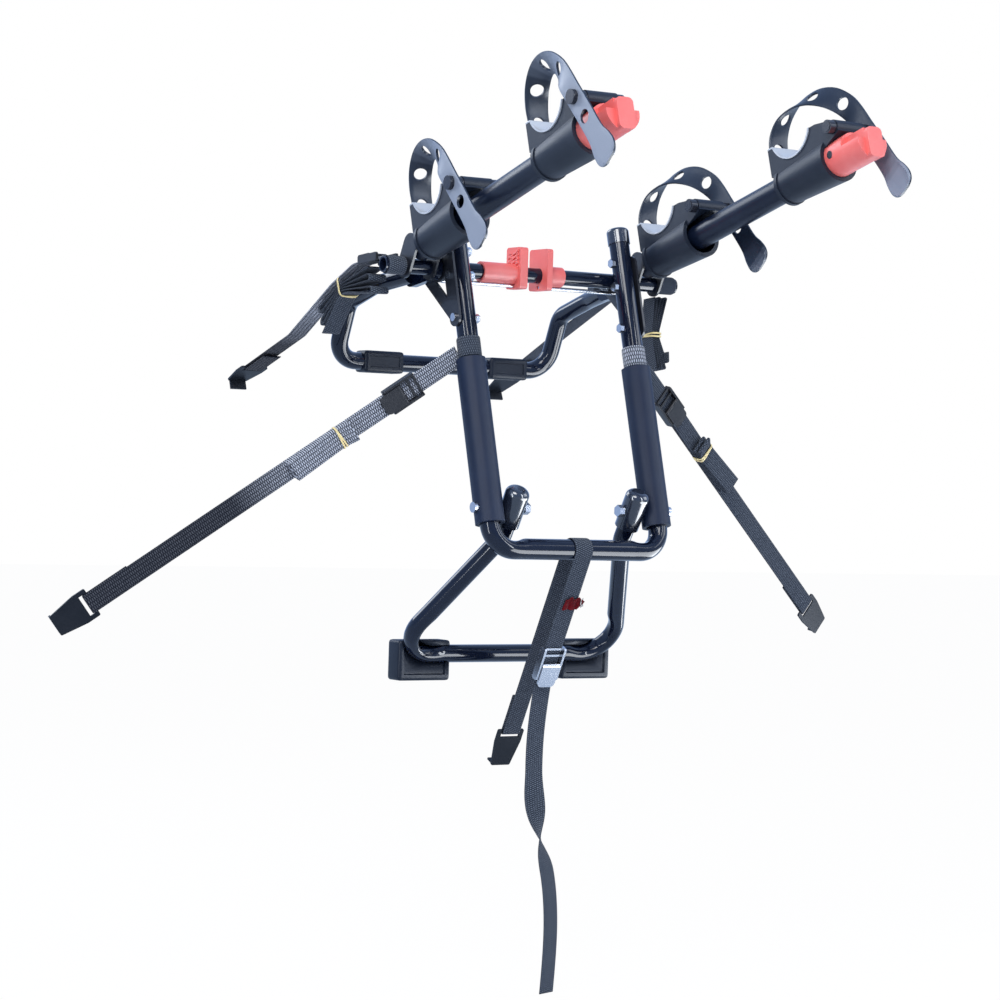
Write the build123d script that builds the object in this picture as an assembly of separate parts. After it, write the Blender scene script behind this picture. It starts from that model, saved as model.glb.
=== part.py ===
from build123d import *
import os
from math import asin, atan2, cos, degrees, hypot, pi, radians, sin, tan

# Trunk mounted bike rack for two bikes, in millimetres.
# The origin lies midway between the contact faces of the two lower feet, at the height of the
# foot bar.  +X is the car's right, +Y points forward to the trunk lid, and +Z points up.

os.makedirs("parts", exist_ok=True)

# Stock tube, sheet and webbing sizes
main_tube_d = 25.4
slim_tube_d = 22.2
arm_tube_d = 31.8
cross_tube_d = 19.0
tube_wall = 1.6
slim_wall = 1.4
plate_thick = 3.0
webbing_wide = 25.0
webbing_thick = 1.5
soft_gap = 0.3
run_gap = 0.4
overrun = 4.0

# Main frame, a leaning U with its crossbar at the bottom
frame_half = 122.0
upright_long = 411.0
lean_angle = 15.7
main_bend_r = 30.0
crossbar_back = 178.0
crossbar_rise = 135.0
end_cap_wall = 1.3
end_cap_skirt = 14.0
end_cap_dome = 6.0
dome_share = 0.75
sleeve_d = 36.0
sleeve_from = main_bend_r + 0.5
sleeve_below_end = 177.0
sleeve_to = upright_long - sleeve_below_end

# Hub plates and their bolts
hub_below_end = 55.7
hub_along = upright_long - hub_below_end
hub_bolt_low = hub_along - 69.3
hub_bolt_mid = hub_along - 15.3
hub_bolt_top = hub_along + 15.7
hub_boss_r = 17.0
hub_lug_r = 11.0
hub_arm_r = 8.0
lock_ahead = 30.0
lock_below = 8.0
small_bolt_r = 3.0
small_nut_flats = 10.0
small_nut_high = 5.0
bolt_play = 0.3
lock_pin_r = 3.0
lock_pin_long = 24.0
lock_knob_r = 7.0
lock_knob_long = 5.0
lock_coil_r = 5.0
lock_wire_d = 1.5
lock_coil_pitch = 2.4
lock_coil_long = 15.0

# Lower frame, which stands against the bumper side of the lid
lower_pivot_along = 50.0
lower_inset = 34.0
lower_half = frame_half - lower_inset
lower_end_up = 20.0
lower_kink_y = 20.0
lower_kink_z = 35.0
foot_outset = 44.0
foot_half = frame_half + foot_outset
foot_reach = 23.0
lower_kink_r = 30.0
foot_bend_r = 38.0
pivot_bolt_r = 4.0
pivot_nut_flats = 13.0
pivot_nut_high = 7.0
shank_past_share = 0.6
lower_cap_r = 15.0
cap_round_share = 0.6
lower_cap_up = 28.0
lower_cap_down = 22.0
foot_pad_wide = 74.0
foot_pad_high = 50.0
foot_pad_inset = 46.0
foot_pad_centre = foot_half - foot_pad_inset
foot_pad_drop = 8.0
foot_pad_round = 6.0

# Upper frame, which lies on the lid
upper_end_outset = 22.0
upper_end_x = frame_half + upper_end_outset
upper_end_thick = 9.0
upper_end_r = 14.0
upper_flat_long = 48.0
upper_outset = 39.0
upper_half = frame_half + upper_outset
upper_joint_y = 107.5
upper_joint_drop = 17.0
upper_kink_y = 174.5
upper_kink_drop = 36.0
upper_bar_y = 205.5
upper_bar_drop = 108.5
upper_joint_r = 60.0
upper_kink_r = 26.0
upper_bend_r = 30.0
upper_pad_wide = 58.0
upper_pad_wall = 3.4
upper_pad_inset = 66.0
upper_pad_centre = upper_half - upper_pad_inset

# Carrying arms, set on one cross tube
arm_rise_angle = 16.5
arm_outset = 45.6
arm_half = frame_half + arm_outset
arm_splay_angle = 1.03
arm_behind_hub = 18.0
arm_above_hub = 19.6
arm_start = 6.0
arm_long = 362.0
cross_past_arm = 48.4
cross_half = arm_half + cross_past_arm
ear_inset = 18.9
ear_inner = arm_half - ear_inset
ear_outset = 15.9
ear_outer = arm_half + ear_outset
ear_r = 15.0

# Cradles, straps and pins, placed along each arm
cradle_near = 57.0
cradle_far_inset = 38.0
cradle_far = arm_long - cradle_far_inset
saddle_r = 37.0
saddle_high = 58.0
saddle_wide = 40.0
horn_high = 45.0
horn_wall = 7.0
boot_before = 38.0
boot_after = 54.0
boot_neck_r = 22.5
boot_mouth_r = 27.5
boot_bore_from = 22.0
boot_bore_r = 22.2
neck_rim_long = 5.0
neck_rim = 1.8
pin_ahead = 74.0
pin_high = 30.0
pin_boss_r = 9.0
pin_r = 6.0
pin_half = 30.0
pin_collar_r = 8.0
pin_collar_long = 9.0
pin_neck_r = 5.0
pin_head_r = 8.5
pin_head_thick = 5.0
liner_thick = 1.9
liner_over = 1.5
strap_wide = 28.0
strap_thick = 3.0
strap_hole_r = 8.0
strap_hole_pitch = 32.0
strap_arch_long = 118.0
strap_arch_high = 63.0

# Red plugs in the arm ends
plug_r = 21.7
plug_spigot_long = 20.0
plug_body_long = 76.0
plug_grip_from = 30.0
plug_grip_half = 11.0
plug_grip_top = 15.0
plug_grip_over = 6.0
plug_ledge = 3.0
screw_head_r = 4.5
screw_head_high = 2.5
screw_from_mouth = 9.0

# Red squeeze grips on the cross tube
grip_r = 12.6
grip_left_out = 78.0
grip_left_in = 29.0
grip_left_thick = 11.0
grip_left_deep = 32.0
grip_right_out = 41.0
grip_right_in = 16.0
grip_right_thick = 8.0
grip_right_deep = 41.0
grip_top = 33.0
grip_bottom = 18.5
grip_round = 4.0
grip_rib = 1.2
grip_rib_count = 8
rod_r = 2.5
rod_below = 14.5

# Side straps, from the uprights to the edges of the lid
loop_above_sleeve = 14.0
loop_along = sleeve_to + loop_above_sleeve
side_out = 453.0
side_ahead = 170.0
side_drop = 346.0
side_hook_at = 548.0
side_stitch_back = 62.0
side_buckle_at = 98.0
side_band_at = 192.0
side_hank_to = 262.0

# Upper straps, from the cross tube ends to the front edge of the lid
upper_strap_outset = 32.9
upper_strap_x = arm_half + upper_strap_outset
upper_strap_run = 352.0
upper_strap_drop = 128.0
upper_strap_bend_r = 45.0
upper_buckle_share = 0.11
upper_left_shares = ((0.22, 0.05), (0.37, 0.23), (0.67, 0.70), (1.0, 1.0))
upper_right_shares = ((0.22, 0.06), (0.37, 0.20), (0.67, 0.55), (1.0, 0.95))
upper_stitch_back = 55.0

# Bottom strap, looped over the crossbar
bottom_angle = 27.0
bottom_buckle_at = 150.0
bottom_hook_at = 271.0
bottom_stitch_back = 55.0
tag_at = 66.0
tag_wide = 22.0
tag_long = 26.0
tag_thick = 1.2

# Cam buckles
buckle_long = 44.0
buckle_rail = 3.0
buckle_high = 10.0
buckle_bar = 6.0
buckle_bar_thick = 2.2
lever_ahead = 2.2
lever_long = 28.0
buckle_window_share = 0.26
lever_thick = 3.0
lever_barrel_r = 3.6
lever_pin_r = 1.4

# Flat hooks
hook_wide = 38.0
hook_tip_wide = 27.0
hook_long = 52.0
hook_thick = 2.5
hook_slot_wide = 27.0
hook_slot_high = 7.0
hook_slot_edge = 4.0
hook_lip = 13.0

# Spare webbing folded into hanks, and their rubber bands
fold_gap = 0.8
fold_fan = 5.0
side_folds = 5
side_fan = 4.2
side_hank_lift = 1.5
upper_folds = 8
left_hank_long = 127.0
left_hank_from = 46.0
left_hank_lift = 6.0
left_hank_start_share = 0.08
left_hank_slope_share = 0.39
left_waist_share = 0.55
left_band_low = -8.0
right_hank_long = 92.0
right_hank_ahead = 2.0
right_hank_drop = 16.0
right_hank_lean_share = 0.1
right_hank_short = 3.0
right_waist_share = 0.53
hank_run_share = 0.48
turn_share = 0.49
wrap_share = 0.99
band_wide = 4.0
band_thick = 1.2
band_room = 0.5
side_band_slack = 1.9
upper_band_slack = 3.8

tail_run_share = 0.45

# Centre points of the free tail of the bottom strap, as (ahead, up) from the crossbar's centre
tail_route = (
    (66.2, -160.2), (77.0, -205.0), (82.0, -256.0), (79.0, -310.0), (62.0, -358.0),
    (42.0, -400.0), (33.5, -446.0), (34.0, -497.0), (39.0, -542.0),
)


def keep(name, shape):
    solids = ShapeList(shape.solids())
    piece = solids[0] if len(solids) == 1 else Compound(children=list(solids))
    piece.label = name
    export_step(piece, f"parts/{name}.step")
    print(f"{name}: {len(solids)} solid(s), {sum(s.volume for s in solids) / 1000:.1f} cm3")


def other_side(shape):
    return mirror(shape, about=Plane.YZ)


def unit(vector):
    return vector * (1 / vector.length)


def rod(start, end, radius, bore=0.0):
    run = Vector(*end) - Vector(*start)
    at = Plane(origin=start, z_dir=run)
    section = Circle(radius)
    if bore:
        section -= Circle(bore)
    return extrude(at * section, run.length)


def tube(points, radii, diameter, wall=0.0):
    path = FilletPolyline(*points, radius=radii)
    at = Plane(origin=path @ 0, z_dir=path % 0)
    section = Circle(diameter / 2)
    if wall:
        section -= Circle(diameter / 2 - wall)
    return sweep(at * section, path=path)


def ribbon(points, radii, across, wide=webbing_wide, thick=webbing_thick):
    path = FilletPolyline(*points, radius=radii)
    at = Plane(origin=path @ 0, z_dir=path % 0, x_dir=across)
    return sweep(at * Rectangle(wide, thick), path=path)


def hexagon_nut(centre, axis, flats, high, bore):
    at = Plane(origin=centre, z_dir=axis)
    return extrude(at * (RegularPolygon(flats / 2, 6, major_radius=False) - Circle(bore)), high)


def link(start, end, radius):
    run = Vector(*end) - Vector(*start)
    middle = (Vector(*end) + Vector(*start)) * (1 / 2)
    turn = degrees(atan2(run.Y, run.X))
    return Pos(middle.X, middle.Y) * SlotCenterToCenter(run.length, 2 * radius, rotation=turn)


# The upright's axis, as points in the side view
lean = radians(lean_angle)


def on_upright(along, ahead=0.0):
    y = -crossbar_back + along * sin(lean) + ahead * cos(lean)
    z = crossbar_rise + along * cos(lean) - ahead * sin(lean)
    return y, z


up_axis = Vector(0, sin(lean), cos(lean))
hub_y, hub_z = on_upright(hub_along, main_tube_d / 2 + cross_tube_d / 2 + run_gap)
low_y, low_z = on_upright(lower_pivot_along)


def upright_point(side, along, ahead=0.0):
    y, z = on_upright(along, ahead)
    return (side * frame_half, y, z)


# Main frame tube with its bolt holes
def main_frame():
    points = [
        upright_point(-1, upright_long), upright_point(-1, 0), upright_point(1, 0), upright_point(1, upright_long)
    ]
    shape = tube(points, main_bend_r, main_tube_d, tube_wall)
    reach = frame_half + main_tube_d
    for along in (hub_bolt_low, hub_bolt_mid, hub_bolt_top):
        y, z = on_upright(along)
        shape -= rod((-reach, y, z), (reach, y, z), small_bolt_r + bolt_play)
    shape -= rod((-reach, low_y, low_z), (reach, low_y, low_z), pivot_bolt_r + bolt_play)
    return shape


keep("main_frame_tube", main_frame())


# Black domed caps over the open tops of the uprights
def upright_cap():
    top = Plane(origin=upright_point(1, upright_long), z_dir=up_axis, x_dir=(1, 0, 0))
    outer_r = main_tube_d / 2 + end_cap_wall
    skirt = extrude(top * (Circle(outer_r) - Circle(main_tube_d / 2 + bolt_play / 2)), -end_cap_skirt)
    lid = extrude(top * Circle(outer_r), end_cap_dome)
    lid = fillet(lid.faces().sort_by(Axis.Z)[-1].edges(), end_cap_dome * dome_share)
    return skirt + lid


cap = upright_cap()
keep("upright_end_caps", Compound(children=[cap, other_side(cap)]))


# Soft sleeves over the lower half of the uprights
def upright_sleeve():
    start = upright_point(1, sleeve_from)
    end = upright_point(1, sleeve_to)
    shape = rod(start, end, sleeve_d / 2, main_tube_d / 2 + bolt_play / 2)
    reach = frame_half + sleeve_d
    return shape - rod((0, low_y, low_z), (reach, low_y, low_z), pivot_bolt_r + bolt_play)


sleeve = upright_sleeve()
keep("upright_sleeves", Compound(children=[sleeve, other_side(sleeve)]))

# Hub plates, a V of flat steel bolted to the outside of each upright
plate_x = frame_half + main_tube_d / 2
lock_y = hub_y + lock_ahead
lock_z = hub_z - lock_below


def hub_plate():
    low = on_upright(hub_bolt_low)
    top = on_upright(hub_bolt_top)
    outline = link(low, top, hub_lug_r) + Pos(hub_y, hub_z) * Circle(hub_boss_r)
    outline += link(low, (lock_y, lock_z), hub_arm_r)
    outline += link((hub_y, hub_z), on_upright(hub_along), hub_lug_r)
    for along in (hub_bolt_low, hub_bolt_mid, hub_bolt_top):
        y, z = on_upright(along)
        outline -= Pos(y, z) * Circle(small_bolt_r + bolt_play)
    outline -= Pos(hub_y, hub_z) * Circle(cross_tube_d / 2 + bolt_play)
    outline -= Pos(lock_y, lock_z) * Circle(lock_pin_r + bolt_play)
    side_view = Plane(origin=(plate_x, 0, 0), x_dir=(0, 1, 0), z_dir=(1, 0, 0))
    return extrude(side_view * outline, plate_thick)


plate = hub_plate()
keep("hub_plate_right", plate)
keep("hub_plate_left", other_side(plate))


# A bolt along X: round head outside, shank, and a nut inside
def cross_bolt(y, z, outside, inside, radius, flats, high):
    shape = rod((inside - high, y, z), (outside, y, z), radius)
    shape += rod((outside, y, z), (outside + high * shank_past_share, y, z), flats / 2)
    return shape + hexagon_nut((inside - high, y, z), (1, 0, 0), flats, high, radius / 2)


def hub_bolt_set():
    bolts = []
    for along in (hub_bolt_low, hub_bolt_mid, hub_bolt_top):
        y, z = on_upright(along)
        head_at = plate_x + plate_thick
        nut_at = frame_half - main_tube_d / 2
        bolts.append(cross_bolt(y, z, head_at, nut_at, small_bolt_r, small_nut_flats, small_nut_high))
    return bolts


bolts = hub_bolt_set()
keep("hub_bolts", Compound(children=bolts + [other_side(b) for b in bolts]))

cap_inner_x = lower_half - lower_cap_r - soft_gap
pivot_bolt = cross_bolt(
    low_y, low_z, frame_half + sleeve_d / 2, cap_inner_x, pivot_bolt_r, pivot_nut_flats, pivot_nut_high
)
keep("lower_pivot_bolts", Compound(children=[pivot_bolt, other_side(pivot_bolt)]))

# Spring plungers that lock the upper frame, standing inboard of the hub plates
leg_face_x = upper_end_x - upper_end_thick / 2


def lock_pin():
    tip = plate_x + plate_thick
    tail = tip - lock_pin_long
    shape = rod((tail, lock_y, lock_z), (tip, lock_y, lock_z), lock_pin_r)
    knob = rod((tail - lock_knob_long, lock_y, lock_z), (tail, lock_y, lock_z), lock_knob_r)
    return shape + knob


def lock_spring():
    start = plate_x - lock_wire_d / 2 - soft_gap - lock_coil_long
    coil = Helix(lock_coil_pitch, lock_coil_long, lock_coil_r)
    at = Plane(origin=coil @ 0, z_dir=coil % 0)
    wound = sweep(at * Circle(lock_wire_d / 2), path=coil)
    return Plane(origin=(start, lock_y, lock_z), z_dir=(1, 0, 0)) * wound


pin = lock_pin()
coil_turns = lock_coil_long / lock_coil_pitch
print(f"lock spring: {coil_turns:.1f} curls, gap {lock_coil_pitch - lock_wire_d:.2f} mm")
spring = lock_spring()
keep("leg_lock_pins", Compound(children=[pin, other_side(pin)]))
keep("leg_lock_springs", Compound(children=[spring, other_side(spring)]))

# Lower frame
kink_run = hypot(lower_kink_y, lower_kink_z)
lower_up = Vector(0, -lower_kink_y / kink_run, lower_kink_z / kink_run)


def lower_leg_points(side):
    pivot = Vector(side * lower_half, low_y, low_z)
    kink = (side * lower_half, low_y + lower_kink_y, low_z - lower_kink_z)
    return [tuple(pivot + lower_up * lower_end_up), kink, (side * foot_half, -foot_reach, 0)]


def lower_sweep(diameter, wall=0.0):
    points = lower_leg_points(-1) + lower_leg_points(1)[::-1]
    return tube(points, [lower_kink_r, foot_bend_r, foot_bend_r, lower_kink_r], diameter, wall)


def lower_frame():
    shape = lower_sweep(slim_tube_d, slim_wall)
    reach = lower_half + slim_tube_d
    return shape - rod((-reach, low_y, low_z), (reach, low_y, low_z), pivot_bolt_r + bolt_play)


keep("lower_frame_tube", lower_frame())


def lower_cap():
    pivot = Vector(lower_half, low_y, low_z)
    low_end = pivot - lower_up * lower_cap_down
    shape = rod(tuple(low_end), tuple(pivot + lower_up * lower_cap_up), lower_cap_r)
    shape = fillet(shape.edges().filter_by(GeomType.CIRCLE).sort_by(Axis.Z)[-1], lower_cap_r * cap_round_share)
    bore_end = pivot + lower_up * (lower_end_up + soft_gap)
    shape -= rod(tuple(low_end - lower_up * overrun), tuple(bore_end), slim_tube_d / 2 + bolt_play / 2)
    reach = lower_half + lower_cap_r + overrun
    return shape - rod((0, low_y, low_z), (reach, low_y, low_z), pivot_bolt_r + bolt_play)


cap = lower_cap()
keep("lower_frame_caps", Compound(children=[cap, other_side(cap)]))


# Rubber feet on the foot bar, cut to the bar and flat towards the car
def foot_pad():
    depth = foot_reach + slim_tube_d / 4
    block = Pos(foot_pad_centre, -depth / 2, -foot_pad_drop) * Box(foot_pad_wide, depth, foot_pad_high)
    block = fillet(block.edges().filter_by(Axis.Y), foot_pad_round)
    return block - lower_sweep(slim_tube_d + 2 * soft_gap)


pad = foot_pad()
keep("foot_pad_right", pad)
keep("foot_pad_left", other_side(pad))


# Upper frame: flattened leg ends on the cross tube, kinked legs and a bar across
def upper_leg_points(side):
    joint = (side * upper_half, hub_y + upper_joint_y, hub_z - upper_joint_drop)
    kink = (side * upper_half, hub_y + upper_kink_y, hub_z - upper_kink_drop)
    corner = (side * upper_half, hub_y + upper_bar_y, hub_z - upper_bar_drop)
    end = Vector(side * upper_end_x, hub_y, hub_z)
    run = Vector(*joint) - end
    start = end + unit(run) * (upper_flat_long - overrun)
    return [tuple(start), joint, kink, corner]


def upper_leg_end(side):
    slope = degrees(atan2(-upper_joint_drop, upper_joint_y))
    centre = Plane(origin=(side * upper_end_x, hub_y, hub_z), x_dir=(0, 1, 0), z_dir=(1, 0, 0))
    flat = Pos(upper_flat_long / 2) * SlotCenterToCenter(upper_flat_long, 2 * upper_end_r)
    flat -= Circle(cross_tube_d / 2 + bolt_play)
    return extrude(centre * (Rot(0, 0, slope) * flat), upper_end_thick / 2, both=True)


def upper_frame():
    points = upper_leg_points(-1) + upper_leg_points(1)[::-1]
    radii = [upper_joint_r, upper_kink_r, upper_bend_r]
    shape = tube(points, radii + radii[::-1], slim_tube_d, slim_wall)
    return shape + upper_leg_end(-1) + upper_leg_end(1)


keep("upper_frame_tube", upper_frame())


# Rubber pads moulded round the upper bar
def upper_pad():
    bar_y = hub_y + upper_bar_y
    bar_z = hub_z - upper_bar_drop
    start = upper_pad_centre - upper_pad_wide / 2
    outer_r = slim_tube_d / 2 + soft_gap + upper_pad_wall
    shape = rod((start, bar_y, bar_z), (start + upper_pad_wide, bar_y, bar_z), outer_r)
    shape = chamfer(shape.edges().filter_by(GeomType.CIRCLE), upper_pad_wall * 2 / 3)
    bore_end = start + upper_pad_wide + overrun
    return shape - rod((start - overrun, bar_y, bar_z), (bore_end, bar_y, bar_z), slim_tube_d / 2 + soft_gap)


pad = upper_pad()
keep("upper_pad_right", pad)
keep("upper_pad_left", other_side(pad))

# The arms' own frame of reference: x runs out along the arm, y up from it and z inwards
rise = radians(arm_rise_angle)
splay = radians(arm_splay_angle)
arm_run = Vector(sin(splay), -cos(rise) * cos(splay), sin(rise) * cos(splay))
arm_up = Vector(0, sin(rise), cos(rise))
arm_in = arm_run.cross(arm_up)
arm_y = hub_y - arm_behind_hub * cos(rise) + arm_above_hub * sin(rise)
arm_z = hub_z + arm_behind_hub * sin(rise) + arm_above_hub * cos(rise)
arm_plane = Plane(origin=(arm_half, arm_y, arm_z), x_dir=arm_run, z_dir=arm_in)
ear_thick = arm_half - arm_tube_d / 2 - ear_inner

cross_ends = [(-cross_half, hub_y, hub_z), (cross_half, hub_y, hub_z)]
keep("cross_tube", rod(cross_ends[0], cross_ends[1], cross_tube_d / 2, cross_tube_d / 2 - tube_wall))


def place_arm(shape):
    return arm_plane * shape


def arm_rod(start, end, radius, bore=0.0):
    at = Plane(origin=(start, 0, 0), x_dir=(0, 1, 0), z_dir=(1, 0, 0))
    section = Circle(radius)
    if bore:
        section -= Circle(bore)
    return extrude(at * section, end - start)


arm = place_arm(arm_rod(-arm_start, arm_long, arm_tube_d / 2, arm_tube_d / 2 - tube_wall))
keep("arm_tube_right", arm)
keep("arm_tube_left", other_side(arm))


# Two ear plates on each side join the arm to the cross tube
def arm_bracket():
    ears = []
    for x in (ear_inner, ear_outer):
        outline = link((hub_y, hub_z), (arm_y, arm_z), ear_r)
        outline -= Pos(hub_y, hub_z) * Circle(cross_tube_d / 2)
        side_view = Plane(origin=(x, 0, 0), x_dir=(0, 1, 0), z_dir=(1, 0, 0))
        arm_bore = place_arm(arm_rod(-2 * arm_tube_d, arm_long, arm_tube_d / 2))
        ears.append(extrude(side_view * outline, ear_thick) - arm_bore)
    return ears


ears = arm_bracket()
keep("arm_brackets", Compound(children=ears + [other_side(e) for e in ears]))


# Cradles: a rubber boot on the arm, a saddle across it and a horn that carries the strap pin
def cradle(centre):
    start = centre - boot_before
    end = centre + boot_after
    profile = Polyline(
        (start, 0), (start, boot_neck_r), (end, boot_mouth_r), (end, 0), close=True
    )
    boot = revolve(make_face(profile), Axis.X)
    boot += arm_rod(start, start + neck_rim_long, boot_neck_r + neck_rim)
    horn_out = centre + saddle_r + horn_wall
    pin_at = centre + pin_ahead
    outline = Polygon(
        (centre - saddle_r - horn_wall, boot_neck_r / 2), (centre - saddle_r - horn_wall, horn_high),
        (horn_out, horn_high), (pin_at, pin_high + pin_boss_r), (pin_at + pin_boss_r, pin_high - horn_wall),
        (horn_out, horn_wall), align=None
    )
    outline += Pos(pin_at, pin_high) * Circle(pin_boss_r)
    block = extrude(outline, saddle_wide / 2, both=True)
    shape = boot + block
    cut_wide = saddle_wide + 2 * boot_mouth_r
    shape -= Pos(centre, saddle_high) * Cylinder(saddle_r, cut_wide)
    shape -= Pos(pin_at, pin_high) * Cylinder(pin_r + bolt_play / 2, cut_wide)
    bore_start = centre - saddle_r - horn_wall - overrun
    shape -= arm_rod(bore_start, end + overrun, arm_tube_d / 2 + bolt_play / 2)
    return shape - arm_rod(centre + boot_bore_from, pin_at + pin_boss_r + overrun, boot_bore_r)


# Smooth liner clipped into each saddle
def cradle_liner(centre):
    ring = Circle(saddle_r - soft_gap) - Circle(saddle_r - soft_gap - liner_thick)
    reach = 2 * saddle_r
    drop = saddle_high - horn_high
    ring -= Pos(0, reach - drop) * Rectangle(2 * reach, 2 * reach)
    return Pos(centre, saddle_high) * extrude(ring, saddle_wide / 2 + liner_over, both=True)


# Pin through the horn, with a collar and a head for the strap
def strap_pin(centre):
    shape = Cylinder(pin_r, 2 * pin_half)
    inner = Pos(0, 0, saddle_wide / 2 + soft_gap + pin_collar_long / 2)
    outer = Pos(0, 0, -saddle_wide / 2 - soft_gap - pin_collar_long / 2)
    shape += inner * Cylinder(pin_collar_r, pin_collar_long)
    shape += outer * Cylinder(pin_collar_r, pin_collar_long)
    neck_long = strap_thick + 3 * soft_gap
    shape += Pos(0, 0, -pin_half - neck_long / 2) * Cylinder(pin_neck_r, neck_long)
    shape += Pos(0, 0, -pin_half - neck_long - pin_head_thick / 2) * Cylinder(pin_head_r, pin_head_thick)
    return Pos(centre + pin_ahead, pin_high) * shape


# Stations of a rubber strap.  Each holds the place along and above the arm as shares of the
# arch's length and height, the share of its way out to the pin head, of its twist and of its width.
strap_shares = (
    (0.000, -0.35, 0.00, 0.00, 1.00), (-0.010, 0.06, 0.00, 0.00, 1.00), (0.010, 0.40, 0.06, 0.06, 1.00),
    (0.100, 0.73, 0.18, 0.18, 1.00), (0.265, 0.95, 0.36, 0.36, 1.00), (0.450, 1.00, 0.55, 0.52, 1.00),
    (0.640, 0.84, 0.73, 0.68, 1.00), (0.800, 0.53, 0.88, 0.84, 1.00), (0.900, 0.20, 1.00, 1.00, 1.00),
    (1.000, -0.18, 1.00, 1.00, 1.00), (1.130, -0.68, 1.00, 1.00, 1.00), (1.270, -1.21, 1.00, 1.00, 1.00),
    (1.340, -1.46, 1.00, 1.00, 1.30), (1.400, -1.68, 1.00, 1.00, 1.36), (1.450, -1.86, 1.00, 1.00, 1.05),
)
strap_hole_shares = ((0.02, 0.50), (0.18, 0.84), (0.42, 0.99), (0.68, 0.79))


def strap_places(centre):
    start = centre - saddle_r - horn_wall - soft_gap - strap_thick / 2
    out = pin_half + soft_gap + strap_thick / 2
    places = []
    for along, above, outwards, twist, wide in strap_shares:
        spot = Vector(start + along * strap_arch_long, horn_high + above * strap_arch_high, -outwards * out)
        places.append((spot, twist * pi / 2, wide * strap_wide))
    return places


def rubber_strap(centre):
    places = strap_places(centre)
    sections = []
    for i, (spot, twist, wide) in enumerate(places):
        before = places[max(i - 1, 0)][0]
        after = places[min(i + 1, len(places) - 1)][0]
        run = unit(after - before)
        flat = unit(Vector(0, 0, 1) - run * run.Z)
        side = run.cross(flat)
        across = flat * cos(twist) + side * sin(twist)
        sections.append(Plane(origin=spot, x_dir=across, z_dir=run) * Rectangle(wide, strap_thick))
    shape = loft(sections, ruled=True)
    start = places[0][0].X
    for along, above in strap_hole_shares:
        shape = punch(shape, places, Vector(start + along * strap_arch_long, horn_high + above * strap_arch_high, 0))
    pin_spot = Vector(centre + pin_ahead, pin_high, -pin_half)
    tail = unit(places[-4][0] - places[-7][0])
    for step in (0, 1):
        at = pin_spot + tail * (step * strap_hole_pitch)
        shape -= Pos(at.X, at.Y, at.Z) * Cylinder(strap_hole_r, 2 * strap_wide)
    return shape


# A round hole square to the strap at the station nearest to a spot in the side view
def punch(shape, places, spot):
    near = min(range(1, len(places) - 1), key=lambda i: hypot(places[i][0].X - spot.X, places[i][0].Y - spot.Y))
    at, twist, wide = places[near]
    run = unit(places[near + 1][0] - places[near - 1][0])
    flat = unit(Vector(0, 0, 1) - run * run.Z)
    across = flat * cos(twist) + run.cross(flat) * sin(twist)
    drill = Plane(origin=at, x_dir=run, z_dir=run.cross(across))
    return shape - drill * Cylinder(strap_hole_r, 4 * strap_thick)


positions = (("inner", cradle_near), ("outer", cradle_far))
liners = []
pins = []
for place, centre in positions:
    body = place_arm(cradle(centre))
    keep(f"cradle_{place}_right", body)
    keep(f"cradle_{place}_left", other_side(body))
    strap = place_arm(rubber_strap(centre))
    keep(f"rubber_strap_{place}_right", strap)
    keep(f"rubber_strap_{place}_left", other_side(strap))
    liners.append(place_arm(cradle_liner(centre)))
    pins.append(place_arm(strap_pin(centre)))
keep("cradle_liners", Compound(children=liners + [other_side(s) for s in liners]))
keep("strap_pins", Compound(children=pins + [other_side(s) for s in pins]))


# Red plug with a finger grip, held by a screw
plug_from = arm_long + soft_gap
plug_end = plug_from + plug_body_long
screw_at = cradle_far + boot_after + screw_from_mouth


def end_plug():
    spigot_r = arm_tube_d / 2 - tube_wall - soft_gap
    shape = arm_rod(plug_from - plug_spigot_long, plug_from, spigot_r) + arm_rod(plug_from, plug_end, plug_r)
    grip_at = cradle_far + boot_after + plug_grip_from
    reach = 2 * plug_r
    past = plug_end - grip_at + overrun
    scoop = Pos(grip_at + past / 2, plug_ledge + reach / 2, plug_grip_half + reach / 2) * Box(past, reach, reach)
    shape -= scoop
    shape -= Pos(0, 0, -2 * plug_grip_half - reach) * scoop
    shape -= Pos(grip_at + past / 2, plug_grip_top + reach / 2) * Box(past, reach, 2 * reach)
    grip_high = plug_grip_top + plug_r
    lip = Pos(plug_end, plug_grip_top - grip_high / 2) * Box(
        2 * plug_grip_over, grip_high, 2 * plug_grip_half
    )
    lip = fillet(lip.edges().filter_by(Axis.X), plug_grip_over)
    shape += lip
    return shape - Pos(screw_at, 0, plug_r) * Cylinder(screw_head_r + bolt_play, 2 * screw_head_high)


def plug_screw():
    return Pos(screw_at, 0, plug_r - screw_head_high / 2) * Cylinder(screw_head_r, screw_head_high)


plug = place_arm(end_plug())
keep("end_plug_right", plug)
keep("end_plug_left", other_side(plug))
screw = place_arm(plug_screw())
keep("plug_screws", Compound(children=[screw, other_side(screw)]))


# Squeeze grips: two sleeves on the cross tube, each with a thumb plate
def squeeze_grip(side, out, inside, thick, deep, sleeve_end):
    start = (side * out, hub_y, hub_z)
    shape = rod(start, (side * sleeve_end, hub_y, hub_z), grip_r)
    plate_high = grip_top + grip_bottom
    middle = side * (inside + thick / 2) if side > 0 else side * (inside - thick / 2)
    plate = Pos(middle, hub_y, hub_z + grip_top - plate_high / 2) * Box(thick, deep, plate_high)
    shape += fillet(plate.edges().filter_by(Axis.X), grip_round)
    return shape


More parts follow.
